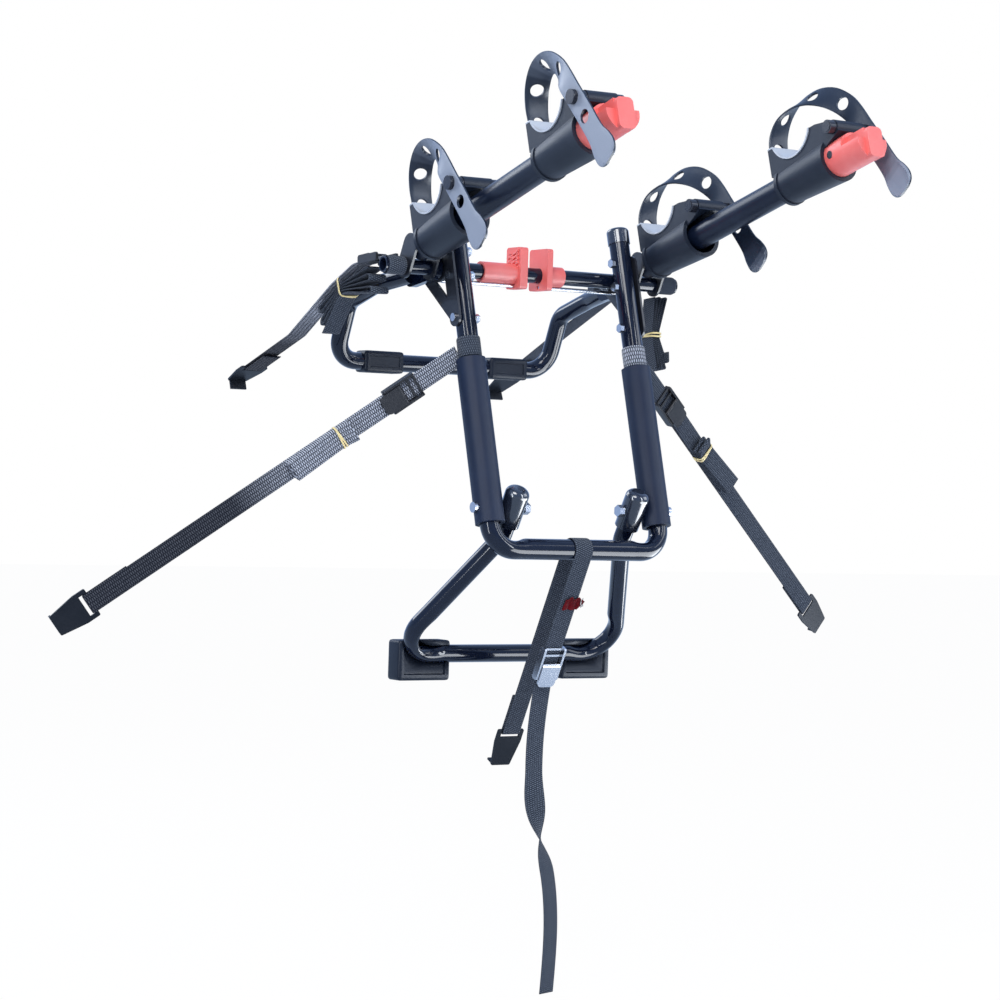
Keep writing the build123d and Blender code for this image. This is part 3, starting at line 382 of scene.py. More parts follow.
# Points of a line with each corner rounded to its own radius
def rounded(points, radii, fine=8):
    nearly_straight = 0.01
    near_half = 0.49
    points = [Vector(p) for p in points]
    line = [points[0]]
    for before, here, after, radius in zip(points, points[1:], points[2:], radii):
        come = (here - before).normalized()
        go = (after - here).normalized()
        bend = come.angle(go, 0.0)
        if bend < nearly_straight:
            line.append(here)
            continue
        room = near_half * min((here - before).length, (after - here).length)
        cut = min(radius * tan(bend / 2), room)
        radius = cut / tan(bend / 2)
        centre = here + (go - come).normalized() * (radius / cos(bend / 2))
        first = here - come * cut - centre
        last = here + go * cut - centre
        sweep = first.angle(last, 0.0)
        for k in range(fine + 1):
            t = k / fine
            line.append(centre + (first * sin((1 - t) * sweep) + last * sin(t * sweep)) / sin(sweep))
    line.append(points[-1])
    return line


# More points on long runs
def refine(line, step):
    out = [line[0]]
    for a, b in zip(line, line[1:]):
        count = max(1, int((b - a).length / step))
        out += [a + (b - a) * (k / count) for k in range(1, count + 1)]
    return out


# A tube bent on a press: at each bend its inner side is flattened and a little wrinkled, and its
# flanks bulge; a gentle bend is crushed less than one past full_bend
def pressed_tube(name, points, radii, diameter, crush, finish):
    segments = 32
    full_bend = 1.2
    past_bend = 12 * mm
    wrinkle_high, wrinkle_rate = 0.10, 9.0
    inner_power, bulge = 1.4, 0.16
    least_step = 0.01 * mm
    line = refine(rounded(points, radii, 16), tube_step)
    line = [line[0]] + [b for a, b in zip(line, line[1:]) if (b - a).length > least_step]
    bends = []
    for before, here, after, radius in zip(points, points[1:], points[2:], radii):
        come = (here - before).normalized()
        go = (after - here).normalized()
        bends.append((here, (go - come).normalized(), radius, come.angle(go)))
    mesh = bmesh.new()
    rings = []
    for i, spot in enumerate(line):
        run = (line[min(i + 1, len(line) - 1)] - line[max(i - 1, 0)]).normalized()
        corner, inward, radius, bend = min(bends, key=lambda b: (b[0] - spot).length)
        middle = corner + inward * (radius / cos(bend / 2) - radius)
        away = (spot - middle).length / (radius * bend / 2 + past_bend)
        amount = crush * max(0.0, 1 - away ** 4) * min(1.0, bend / full_bend)
        wrinkle = 1 + wrinkle_high * sin(away * wrinkle_rate)
        first = (inward - run * inward.dot(run)).normalized()
        second = run.cross(first)
        ring = []
        for k in range(segments):
            angle = 2 * pi * k / segments
            dent = max(0.0, cos(angle)) ** inner_power * wrinkle - bulge * sin(angle) ** 2
            reach = diameter / 2 * (1 - amount * dent)
            ring.append(mesh.verts.new(spot + (first * cos(angle) + second * sin(angle)) * reach))
        rings.append(ring)
    for here, there in zip(rings, rings[1:]):
        base = min(range(segments), key=lambda n: (there[n].co - here[0].co).length)
        for k in range(segments):
            n = (k + 1) % segments
            facing, next_one = there[(k + base) % segments], there[(n + base) % segments]
            face = mesh.faces.new((here[k], here[n], next_one, facing))
            face.smooth = True
    mesh.faces.new(rings[0])
    mesh.faces.new(rings[-1])
    bmesh.ops.recalc_face_normals(mesh, faces=mesh.faces)
    return piece_of(name, mesh, finish)


def on_upright(along):
    return Vector((0, along * sin(lean) - crossbar_back, along * cos(lean) + crossbar_rise)) * mm


frame_right = Vector((frame_half, 0, 0))
upright_top = on_upright(upright_long)
main_route = (
    upright_top + frame_right, on_upright(0) + frame_right,
    on_upright(0) - frame_right, upright_top - frame_right
)
main_bends = (main_bend, main_bend)
main_tube = pressed_tube(
    "main_frame_pressed_tube", main_route, main_bends, main_tube_wide, main_crush, gloss_black
)
foot_route = []
for x in (-1, 1):
    pivot = on_upright(lower_pivot_along) + Vector((lower_half * x, 0, 0))
    leg_end = pivot - lower_kink.normalized() * lower_end_up
    leg = [leg_end, pivot + lower_kink, Vector((foot_half * x, -foot_reach, 0))]
    foot_route += leg if x < 0 else leg[::-1]
foot_bends = (main_bend, foot_bend, foot_bend, main_bend)
lower_tube = pressed_tube(
    "lower_frame_pressed_tube", foot_route, foot_bends, slim_tube_wide, lower_crush, gloss_black
)
for tube, node, body in (
    (main_tube, "main_frame_tube", "frame"), (lower_tube, "lower_frame_tube", "lower_frame")
):
    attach(tube, body)
    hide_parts(node)

# Caps and sleeves: gloss black plastic domes pushed over the ends of the uprights and of the lower
# frame's legs, and matte rubber sleeves drawn over the uprights.
cap_plastic = grained_finish(
    "gloss_black_cap_plastic", (0.006, 0.010, 0.022), (0.03, 0.035, 0.05),
    rough=(0.14, 0.26), scale=500.0, depth=0.05,
    Coat_Weight=1.0, Coat_Roughness=0.05
)
sleeve_rubber = grained_finish(
    "matte_sleeve_rubber", (0.005, 0.012, 0.034), (0.016, 0.032, 0.075),
    rough=(0.38, 0.56), scale=900.0, depth=0.3,
    Specular_IOR_Level=0.25
)
dress("upright_end_caps", cap_plastic)
dress("lower_frame_caps", cap_plastic)
dress("upright_sleeves", sleeve_rubber)

# Hub plates and brackets: cut and bent steel plate in satin black paint, which the pins and the
# plug screws have too. Bolts, springs, pull rods, bottom buckle and its lever are zinc plated.
plate_paint = grained_finish(
    "satin_black_plate", (0.010, 0.012, 0.018), (0.06, 0.06, 0.07),
    rough=(0.28, 0.45), scale=420.0, depth=0.2,
    Coat_Weight=0.3, Specular_IOR_Level=0.3
)
bright_zinc = grained_finish(
    "bright_zinc", (0.56, 0.56, 0.58), (0.50, 0.50, 0.51),
    rough=(0.22, 0.22), scale=700.0, depth=0.0, Metallic=1.0
)
for node in ("hub_plate_right", "hub_plate_left", "arm_brackets", "leg_lock_pins", "plug_screws"):
    dress(node, plate_paint)
for node in (
    "hub_bolts", "lower_pivot_bolts", "leg_lock_springs", "pull_rod_left", "pull_rod_right",
    "bottom_buckle", "bottom_lever"
):
    dress(node, bright_zinc)

# Feet and upper pads: moulded black rubber blocks with rounded edges and shallow trays in their
# faces. The foot bar lies in a channel through each foot, and a pad sits round the upper bar.
pad_rubber = grained_finish(
    "moulded_pad_rubber", (0.006, 0.010, 0.020), (0.03, 0.04, 0.06),
    rough=(0.30, 0.48), scale=650.0, depth=0.15,
    Specular_IOR_Level=0.2
)
pad_edge = 5.0 * mm
channel_play = 0.7 * mm
foot_out, foot_ahead, foot_up = 120, -14.4, -8
foot_size = Vector((74, 28.4, 50)) * mm
foot_rim = 3.2 * mm
foot_tray = 3.0 * mm
pad_out, pad_ahead, pad_up = 95, 145.4, 362.43
pad_size = Vector((58, 28, 28)) * mm
pad_rim = 2.6 * mm
pad_tray = 1.2 * mm
rearward, upwards, downwards = Vector((0, -1, 0)), Vector((0, 0, 1)), Vector((0, 0, -1))


# A moulded block: rounded edges, and a shallow tray with a raised rim in each face that trays names
def moulded_block(name, centre, size, edge, finish, trays=(), rim=0.0, deep=0.0):
    area_weight = 10
    wall_share = 0.6
    mesh = bmesh.new()
    bmesh.ops.create_cube(mesh, size=1.0)
    for vertex in mesh.verts:
        vertex.co = Vector((vertex.co.x * size[0], vertex.co.y * size[1], vertex.co.z * size[2]))
    bmesh.ops.bevel(mesh, geom=mesh.edges[:], offset=edge, segments=3, affect="EDGES", profile=0.6)
    for way in trays:
        face = max(
            mesh.faces,
            key=lambda f: f.calc_center_median().dot(way) + f.calc_area() * area_weight * f.normal.dot(way)
        )
        bmesh.ops.inset_region(mesh, faces=[face], thickness=rim, depth=0.0)
        bmesh.ops.inset_region(mesh, faces=[face], thickness=deep * wall_share, depth=-deep)
    for vertex in mesh.verts:
        vertex.co += centre
    block = piece_of(name, mesh, finish)
    for polygon in block.data.polygons:
        polygon.use_smooth = True
    block.data.set_sharp_from_angle(angle=radians(40))
    return block


def cut_away(piece, cutter):
    cut = piece.modifiers.new("cut", "BOOLEAN")
    cut.operation = "DIFFERENCE"
    cut.solver = "EXACT"
    cut.object = cutter
    bpy.context.view_layer.update()
    shaped = bpy.data.meshes.new_from_object(piece.evaluated_get(bpy.context.evaluated_depsgraph_get()))
    piece.modifiers.clear()
    piece.data = shaped
    bpy.data.objects.remove(cutter)


for side, sign in (("right", 1), ("left", -1)):
    foot = moulded_block(
        f"foot_pad_{side}_moulding", Vector((foot_out * sign, foot_ahead, foot_up)) * mm, foot_size, pad_edge,
        pad_rubber, (rearward, downwards), foot_rim, foot_tray
    )
    channel = pressed_tube(
        "foot_channel", foot_route, foot_bends, slim_tube_wide + channel_play, 0.0, pad_rubber
    )
    cut_away(foot, channel)
    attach(foot, "lower_frame")
    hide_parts(f"foot_pad_{side}")
    pad = moulded_block(
        f"upper_pad_{side}_moulding", Vector((pad_out * sign, pad_ahead, pad_up)) * mm, pad_size, pad_edge,
        pad_rubber, (rearward, upwards, downwards), pad_rim, pad_tray
    )
    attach(pad, "upper_frame")
    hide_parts(f"upper_pad_{side}")

# Cradles: soft rubber boots moulded on the arms, with smooth hard plastic liners in their saddles
# and plastic pins through their horns, on which the straps are buttoned.
boot_rubber = grained_finish(
    "boot_rubber", (0.009, 0.014, 0.026), (0.035, 0.045, 0.065),
    rough=(0.34, 0.52), scale=800.0, depth=0.3,
    Specular_IOR_Level=0.3
)
liner_colour = (0.46, 0.50, 0.56)
liner_plastic = grained_finish(
    "saddle_liner_plastic", liner_colour, (0.60, 0.63, 0.68),
    rough=(0.10, 0.22), scale=300.0, depth=0.05
)
pin_plastic = grained_finish(
    "pin_plastic", (0.014, 0.016, 0.024), (0.06, 0.06, 0.07),
    rough=(0.12, 0.25), scale=400.0, depth=0.06
)
for side in ("right", "left"):
    dress(f"cradle_inner_{side}", boot_rubber)
    dress(f"cradle_outer_{side}", boot_rubber)
dress("cradle_liners", liner_plastic)
dress("strap_pins", pin_plastic)

# Rubber straps over the saddles: a moulded band with round holes, hooked on the boot at one end,
# buttoned on the pin at the other, and ended by a dished thumb tab with a raised rim. Towards the
# tab its broad faces are painted pale grey, a painted highlight where the lamps fall on the tail.
arm_rise = radians(16.5)
arm_splay = radians(1.03)
arm_start = Vector((167.6, -71.79, 494.84)) * mm
arm_out = Vector((sin(arm_splay), -cos(arm_rise) * cos(arm_splay), sin(arm_rise) * cos(arm_splay)))
arm_up = Vector((0, sin(arm_rise), cos(arm_rise)))
arm_in = arm_out.cross(arm_up)
arm_tube_wide = 31.8 * mm
cradle_inner, cradle_outer = 57, 324
saddle_r, horn_wall, horn_high = 37, 7, 45
pin_from_cradle, pin_high = 74, 30
soft_gap = 0.3
strap_thick = 3.0
strap_wide = 28 * mm
strap_arch_long = 118 * mm
strap_arch_high = 63 * mm
strap_hole_r = 8 * mm
strap_hole_pitch = 32 * mm
drill_long = 16 * mm
pin_hole, last_hole = 9.0, 10.25
strap_holes = (1.0, 3.0, 5.0, 6.9, pin_hole, last_hole)
# How many rows the painted light on the straps' tails takes to grow in, and its pale grey colour
painted_light_run = 3.0
painted_light_colour = (0.23, 0.265, 0.335, 1)
# Each row: along the arch, above the horn, outwards, turn in quarters, width, tab
strap_shares = (
    (0.000, -0.35, 0.00, 0.00, 1.00, 0), (-0.010, 0.06, 0.00, 0.00, 1.00, 0),
    (0.015, 0.35, 0.06, 0.06, 1.00, 0), (0.105, 0.62, 0.18, 0.18, 1.00, 0),
    (0.265, 0.80, 0.36, 0.36, 1.00, 0), (0.450, 0.83, 0.55, 0.52, 1.00, 0),
    (0.640, 0.70, 0.73, 0.68, 1.00, 0), (0.800, 0.45, 0.88, 0.84, 1.00, 0),
    (0.900, 0.17, 1.00, 1.00, 1.00, 0), (1.000, -0.18, 1.00, 1.00, 1.00, 0),
    (1.130, -0.62, 1.00, 1.00, 1.00, 0), (1.260, -1.09, 1.00, 1.00, 1.02, 0.3),
    (1.325, -1.32, 1.00, 1.00, 1.28, 1), (1.380, -1.51, 1.00, 1.00, 1.34, 1),
    (1.425, -1.67, 1.00, 1.00, 1.00, 0.6)
)
strap_rubber = grained_finish(
    "strap_rubber", (0.010, 0.017, 0.034), (0.035, 0.05, 0.075),
    rough=(0.26, 0.42), scale=700.0, depth=0.25,
    Specular_IOR_Level=0.4
)
# Painted light: the strap's colour is mixed towards pale grey by a share stored on its corners
tree = strap_rubber.node_tree
painted_light_share = tree.nodes.new("ShaderNodeAttribute")
painted_light_share.attribute_name = "painted_light"
painted_light_mix = mixed(tree, painted_light_share.outputs["Fac"], tree.nodes["Group"].outputs["Color"], painted_light_colour)
tree.links.new(painted_light_mix, tree.nodes["Principled BSDF"].inputs["Base Color"])


def mirrored(point, sign):
    return Vector((point.x * sign, point.y, point.z))


# Sets a mesh that is drawn along the right arm, out, up and in, on the arm of its own side
def set_on_arm(data, sign, shift=Vector()):
    for vertex in data.vertices:
        p = vertex.co + shift
        vertex.co = mirrored(arm_start + arm_out * p.x + arm_up * p.y + arm_in * p.z, sign)
    if sign < 0:
        data.flip_normals()


# A smooth curve through the values, read at any place between them
def between(values, at):
    i = min(int(at), len(values) - 2)
    t = at - i
    a, b, c, d = values[max(i - 1, 0)], values[i], values[i + 1], values[min(i + 2, len(values) - 1)]
    bend = a - b * 2.5 + c * 2 - d * 0.5
    skew = (b - c) * 1.5 + (d - a) * 0.5
    return b + (c - a) * (t / 2) + bend * t * t + skew * t ** 3


def strap_station(centre, at):
    along, above, outwards, twist, wide, tab = (
        between([row[k] for row in strap_shares], at) for k in range(6)
    )
    start = (centre - saddle_r - horn_wall - soft_gap - strap_thick / 2) * mm
    height = horn_high * mm + above * strap_arch_high
    spot = Vector((start + along * strap_arch_long, height, -outwards * arm_tube_wide))
    return spot, twist * pi / 2, wide * strap_wide, tab


def strap_frame(centre, at):
    last = len(strap_shares) - 1
    nearby = 0.02
    ahead = strap_station(centre, min(at + nearby, last))[0]
    behind = strap_station(centre, max(at - nearby, 0))[0]
    here = strap_station(centre, at)
    run = (ahead - behind).normalized()
    flat = (Vector((0, 0, 1)) - run * run.z).normalized()
    across = flat * cos(here[1]) + run.cross(flat) * sin(here[1])
    return here, run, across, run.cross(across)


# The tab shares raise its rim and sink its dish, the end shares round off its tip
def rubber_strap(name, centre, sign, painted_light_from):
    fine = 6
    last = len(strap_shares) - 1
    end_run, end_narrow = 0.6, 0.75
    wide_shares = (-1.0, -0.86, -0.6, -0.3, 0.0, 0.3, 0.6, 0.86, 1.0)
    thick_shares = (0.7, 1, 1, 1, 1, 1, 1, 1, 0.7)
    tab_shares = (0, 0.7, -0.45, -0.45, -0.45, -0.45, -0.45, 0.7, 0)
    mesh = bmesh.new()
    rings = []
    for i in range(last * fine + 1):
        (spot, _, wide, tab), run, across, face = strap_frame(centre, i / fine)
        end = max(0.0, i - (last - end_run) * fine) / (end_run * fine)
        half_wide = wide * (1 - end * end * end_narrow) ** 0.5 / 2
        half_thick = strap_thick * mm / 2
        ring = []
        for share, thick, lift in zip(wide_shares, thick_shares, tab_shares):
            ring.append(spot + across * (share * half_wide) - face * ((thick + tab * lift) * half_thick))
        for share, thick in zip(wide_shares[::-1], thick_shares[::-1]):
            ring.append(spot + across * (share * half_wide) + face * (thick * half_thick))
        rings.append([mesh.verts.new(p) for p in ring])
    broad_sides = mesh.faces.layers.int.new("outside")
    edge = len(wide_shares)
    for here, there in zip(rings, rings[1:]):
        for k in range(len(here)):
            n = (k + 1) % len(here)
            face = mesh.faces.new((here[k], there[k], there[n], here[n]))
            face[broad_sides] = (k < edge - 1) + 2 * (edge <= k < len(here) - 1)
    mesh.faces.new(rings[0])
    mesh.faces.new(list(reversed(rings[-1])))
    bmesh.ops.recalc_face_normals(mesh, faces=mesh.faces)
    strap = piece_of(name, mesh)
    drills = bmesh.new()
    for at in strap_holes:
        (spot, _, _, _), run, across, face = strap_frame(centre, at)
        if at in (pin_hole, last_hole):
            spot = Vector(((centre + pin_from_cradle) * mm, pin_high * mm, spot.z))
        if at == last_hole:
            spot += run * strap_hole_pitch
        turned = Matrix((run, across, face)).transposed().to_4x4()
        bmesh.ops.create_cone(
            drills, cap_ends=True, segments=28, radius1=strap_hole_r, radius2=strap_hole_r,
            depth=drill_long, matrix=Matrix.Translation(spot) @ turned
        )
    cut_away(strap, piece_of("drills", drills))
    shaped = strap.data
    shaped.name = name
    outside = shaped.attributes.get("outside")
    # Share of painted light on each corner of the broad faces, growing from the row where it starts
    painted_light = shaped.attributes.new("painted_light", "FLOAT", "CORNER")
    stations = [strap_frame(centre, i / 2)[0][0] for i in range(last * 2 + 1)]
    for polygon in shaped.polygons:
        broad_side = outside.data[polygon.index].value
        if broad_side:
            for corner in polygon.loop_indices:
                spot = shaped.vertices[shaped.loops[corner].vertex_index].co
                nearest = min(range(len(stations)), key=lambda i: (stations[i] - spot).length_squared) / 2
                painted_light.data[corner].value = min(max((nearest - painted_light_from[broad_side - 1]) / painted_light_run, 0), 1)
    set_on_arm(shaped, sign)
    shaped.set_sharp_from_angle(angle=radians(35))
    shaped.materials.clear()
    shaped.materials.append(strap_rubber)
    return strap


# Rows from which the painted light starts on the two broad faces, set per side and per face
for place, centre, right_painted_light in (("inner", cradle_inner, (12.5, 10.5)), ("outer", cradle_outer, (9.0, 9.0))):
    for side, sign, painted_light_from in (("right", 1, right_painted_light), ("left", -1, (9.0, 3.5))):
        strap = rubber_strap(f"rubber_strap_{place}_{side}_band", centre, sign, painted_light_from)
        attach(strap, "arms")
        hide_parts(f"rubber_strap_{place}_{side}")

# Lips of the saddle liners: the hard plastic turns out flat over the horns' ends, in a broad
# lower layer with a short one on it, and shines there.
lip_plastic = grained_finish(
    "liner_lip_plastic", liner_colour, (0.60, 0.64, 0.70),
    rough=(0.12, 0.25), scale=300.0, depth=0.05, Coat_Weight=0.4
)
lip_edge = 0.9 * mm
lip_thick = 2.0
lip_layers = (
    (Vector((-39.4, 46.1, 0)), Vector((9.4, lip_thick, 41))),
    (Vector((-40.0, 47.4, 0)), Vector((5.0, lip_thick, 22)))
)


def join_pieces(name, pieces):
    bpy.ops.object.select_all(action="DESELECT")
    for piece in pieces:
        piece.select_set(True)
    bpy.context.view_layer.objects.active = pieces[0]
    bpy.ops.object.join()
    pieces[0].name = name
    return pieces[0]


for place, centre in (("inner", cradle_inner), ("outer", cradle_outer)):
    for side, sign in (("right", 1), ("left", -1)):
        lips = []
        for lip_at, lip_size in lip_layers:
            lip = moulded_block(f"saddle_lip_{place}_{side}", Vector(), lip_size * mm, lip_edge, lip_plastic)
            set_on_arm(lip.data, sign, (Vector((centre, 0, 0)) + lip_at) * mm)
            lips.append(lip)
        whole = join_pieces(f"saddle_lip_{place}_{side}", lips)
        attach(whole, "arms")

# Plugs and squeeze grips: coral red plastic, moulded with a light grain. The plugs are screwed in
# the arms' ends, and the left grip has eight ribs for the fingers on its inner face.
coral_plastic = grained_finish(
    "coral_red_plastic", (0.86, 0.14, 0.125), (0.92, 0.34, 0.31),
    rough=(0.34, 0.50), scale=600.0, depth=0.18,
    Subsurface_Weight=0.08, Subsurface_Radius=(0.02, 0.006, 0.004), Subsurface_Scale=0.1
)
for node in ("end_plug_right", "end_plug_left", "squeeze_grip_left", "squeeze_grip_right"):
    dress(node, coral_plastic)
hub_axis = Vector((0, -60.10, 470.93)) * mm
grip_rib_count = 8
grip_rib_size = Vector((2.4, 25, 2.3)) * mm
grip_rib_edge = 0.7 * mm
grip_rib_pitch = 5.0
grip_face, lowest_rib = -29.3, -11
grip_rib_slope = Matrix.Rotation(radians(-24), 4, "X")
ribs = []
for k in range(grip_rib_count):
    rib = moulded_block(f"grip_rib_{k}", Vector(), grip_rib_size, grip_rib_edge, coral_plastic)
    rib_at = hub_axis + Vector((grip_face, 0, lowest_rib + k * grip_rib_pitch)) * mm
    for vertex in rib.data.vertices:
        vertex.co = grip_rib_slope @ vertex.co + rib_at
    ribs.append(rib)
grip_ribs = join_pieces("grip_left_ribs", ribs)
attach(grip_ribs, "grip_left")

# Cam buckles and flat hooks: the buckles are moulded in satin black plastic with a sprung lever
# each, and the hooks are stamped steel dipped in black vinyl.
buckle_plastic = grained_finish(
    "buckle_plastic", (0.010, 0.011, 0.014), (0.07, 0.07, 0.08),
    rough=(0.25, 0.42), scale=500.0, depth=0.12,
    Specular_IOR_Level=0.3
)
hook_vinyl = grained_finish(
    "hook_vinyl", (0.006, 0.009, 0.015), (0.035, 0.04, 0.05),
    rough=(0.34, 0.50), scale=400.0, depth=0.08,
    Specular_IOR_Level=0.15
)
for node in ("strap_buckles", "side_lever_right", "side_lever_left", "upper_lever_right", "upper_lever_left"):
    dress(node, buckle_plastic)
for node in ("strap_hooks", "bottom_hook"):
    dress(node, hook_vinyl)

# Side straps: a loop round each upright, a long strap that turns back through its hook, and the
# spare length folded to and fro under a rubber band, all cut from the same webbing. The routes
# and layers of straps are in millimetres from here on.
half_layer = webbing_thick / (2 * mm)
hook_thick = 2.5
layer_apart = hook_thick + 2 * half_layer + 2 * soft_gap
round_main_tube = main_tube_wide / (2 * mm) + soft_gap + half_layer
hook_turn = 2.2
loop_along = 248
side_way = (453, 170, -346)
side_from, side_hook_at, side_stitch_to = 14.9, 548, 486
route_step = 6.0
hank_step = 5.0
fold_pitch = 2.3
hank_folds = 5
side_band_at = 192
# Weave pitches of the lit copies with painted sheen, and the lengths of strap that carry it
sheen_rib_pitch = 2.7 * mm
sheen_row_pitch = 5.0 * mm
left_strap_sheen_until = 0.235


# Lit copies of the webbing: pale blue-white painted sheen on the ribs over deep painted shade in the gaps,
# dimming past the given length.
def painted_sheen_webbing_finish(name, sheen_until):
    return webbing_finish(
        name, (0.003, 0.005, 0.012), (0.72, 0.78, 0.90), depth=1.0,
        rib=sheen_rib_pitch, row=sheen_row_pitch, sheen_until=sheen_until
    )


painted_sheen_webbing = painted_sheen_webbing_finish("painted_sheen_webbing", whole_strap)
painted_sheen_dimming_webbing = painted_sheen_webbing_finish("painted_sheen_dimming_webbing", left_strap_sheen_until)


# Where a strap lies: its start, the way it runs, the way its width points, and outwards from it
def strap_place(start, run, outwards):
    run = Vector(run).normalized()
    side = Vector(outwards).cross(run).normalized()
    out = run.cross(side)
    return Vector(start), run, out.cross(run), out


# Brings points that are given along a strap, across it and out from it to their side of the rack
def lay(place, points, sign=1):
    start, run, side, out = place
    return [mirrored(start + run * (x * mm) + side * (y * mm) + out * (z * mm), sign) for x, y, z in points]


def loop_round(centre, axis, radius, fine=40):
    axis = axis.normalized()
    first = axis.orthogonal().normalized() * radius
    second = axis.cross(first)
    turns = [2 * pi * k / fine for k in range(fine)]
    return [centre + first * cos(turn) + second * sin(turn) for turn in turns]


side_start = on_upright(loop_along) + frame_right
side_place = strap_place(side_start, side_way, (0, -1, 0))
side_route = (
    (side_from, 0, 0), (side_hook_at, 0, 0),
    (side_hook_at, 0, -layer_apart), (side_stitch_to, 0, -layer_apart)
)
side_line = refine(rounded(side_route, (hook_turn, hook_turn)), route_step)
upright_way = Vector((0, sin(lean), cos(lean)))
# Each side's loop and strap are drawn in the plain webbing or in a lit copy with painted sheen.
for side, sign, loop_finish, strap_finish in (
    ("right", 1, painted_sheen_webbing, black_webbing), ("left", -1, black_webbing, painted_sheen_dimming_webbing)
):
    ring = loop_round(mirrored(side_start, sign), upright_way, round_main_tube * mm)
    loop = strip_of_webbing(f"side_loop_{side}", ring, upright_way, loop_finish, ring=True)
    across = mirrored(side_place[2], sign)
    whole = strip_of_webbing(f"side_strap_{side}", lay(side_place, side_line, sign), across, strap_finish)
    for piece, node in ((whole, f"side_webbing_{side}"), (loop, "side_strap_loops")):
        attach(piece, "frame")
        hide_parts(node)


# Webbing folded to and fro: each fold is drawn in at the waist and fans out at both ends; the head
# and the tail are the lengths by which its first and last layer run on
def folded_points(back, front, waist, fan, lift, head, tail):
    points = []
    for i in range(hank_folds):
        end_z = fold_pitch + lift + i * fan
        ends = [(back, 0, end_z), (front, 0, end_z)]
        if i % 2:
            ends = ends[::-1]
        points += [ends[0], (waist, 0, (i + 1) * fold_pitch), ends[1]]
    points[0] = (points[0][0] - head, 0, points[0][2])
    if tail:
        points.append((points[-1][0] - tail, 0, points[-1][2]))
    return points


def bend_radii(points, largest, share=0.48):
    radii = []
    for before, here, after in zip(points, points[1:], points[2:]):
        come = Vector(here) - Vector(before)
        go = Vector(after) - Vector(here)
        radii.append(min(largest, share * min(come.length, go.length) / tan(come.angle(go) / 2)))
    return radii


def hank_of_webbing(name, place, sign, finish, back, front, waist, fan, lift, head=0.0, tail=0.0):
    points = folded_points(back, front, waist, fan, lift, head, tail)
    line = refine(rounded(points, bend_radii(points, (front - back) / 4)), hank_step)
    return strip_of_webbing(name, lay(place, line, sign), mirrored(place[2], sign), finish)


# The left hank is drawn in the lit copy with painted sheen.
for side, sign, hank_finish in (("right", 1, black_webbing), ("left", -1, painted_sheen_webbing)):
    hank = hank_of_webbing(
        f"side_hank_{side}_folds", side_place, sign, hank_finish, back=174.5, front=262, waist=side_band_at,
        fan=4.2, lift=1.5, head=54.2
    )
    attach(hank, "frame")
    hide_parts(f"side_hank_{side}")

# Upper straps: loops on the cross tube, straps that run forward and drop to their hooks, and hanks
# of spare webbing, fanned out under the left strap and hanging down beside the right one.
cross_tube_r = 9.5
round_cross_tube = cross_tube_r + soft_gap + half_layer
upper_out = 200.5
upper_start = hub_axis + Vector((upper_out, 0, round_cross_tube)) * mm
upper_ahead, upper_drop, upper_stitch = 352, 128, 55
upper_bend = 45 * mm
# Each pair: share of the way ahead, share of the drop
upper_shares = {
    "left": ((0.22, 0.05), (0.37, 0.23), (0.67, 0.70), (1.0, 1.0)),
    "right": ((0.22, 0.06), (0.37, 0.20), (0.67, 0.55), (1.0, 0.95))
}
rightward = Vector((1, 0, 0))
# The left upper strap carries painted sheen over its first part.
upper_strap_sheen_until = 0.20
short_painted_sheen_dimming_webbing = painted_sheen_webbing_finish("short_painted_sheen_dimming_webbing", upper_strap_sheen_until)
for side, sign, finish in (("right", 1, black_webbing), ("left", -1, short_painted_sheen_dimming_webbing)):
    points = [upper_start]
    for ahead, drop in upper_shares[side]:
        points.append(upper_start + Vector((0, ahead * upper_ahead, -drop * upper_drop)) * mm)
    run = (points[-1] - points[-2]).normalized()
    down = run.cross(rightward)
    down = -down if down.z > 0 else down
    folded_back = points[-1] + down * (layer_apart * mm)
    points += [folded_back, folded_back - run * (upper_stitch * mm)]
    bends = (upper_bend, upper_bend, upper_bend, hook_turn * mm, hook_turn * mm)
    line = [mirrored(p, sign) for p in refine(rounded(points, bends), route_step * mm)]
    strap = strip_of_webbing(f"upper_strap_{side}_long", line, rightward, finish)
    ring = loop_round(hub_axis + rightward * (upper_out * sign * mm), rightward, round_cross_tube * mm)
    loop = strip_of_webbing(f"upper_loop_{side}", ring, rightward, black_webbing, ring=True)
    whole = join_pieces(f"upper_strap_{side}", [strap, loop])
    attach(whole, "frame")
    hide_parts(f"upper_webbing_{side}")
left_hank_from, left_hank_long, left_hank_sink_share = 46, 127, 0.08
left_band_at = left_hank_long * 0.55
left_hank_at = upper_start + Vector((0, left_hank_from, -left_hank_from * left_hank_sink_share)) * mm
left_place = strap_place(left_hank_at, (0, 1, -0.39), (0, 0, -1))
right_hank_long, right_hank_in, right_hank_off = 92, 18, 16
right_band_at = right_hank_long * 0.53
right_hank_at = hub_axis + Vector((upper_out - right_hank_in, right_hank_off, -right_hank_off)) * mm
right_place = strap_place(right_hank_at, (0, -0.1, -1), (1, 0, 0))
left_hank = hank_of_webbing(
    "upper_hank_left_folds", left_place, -1, black_webbing, back=0, front=left_hank_long, waist=left_band_at,
    fan=8.6, lift=6.0
)
right_hank = hank_of_webbing(
    "upper_hank_right_folds", right_place, 1, black_webbing, back=0, front=right_hank_long,
    waist=right_band_at, fan=4.8, lift=6.0, tail=22.5
)
for hank, side in ((left_hank, "left"), (right_hank, "right")):
    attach(hank, "frame")
    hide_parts(f"upper_hank_{side}")

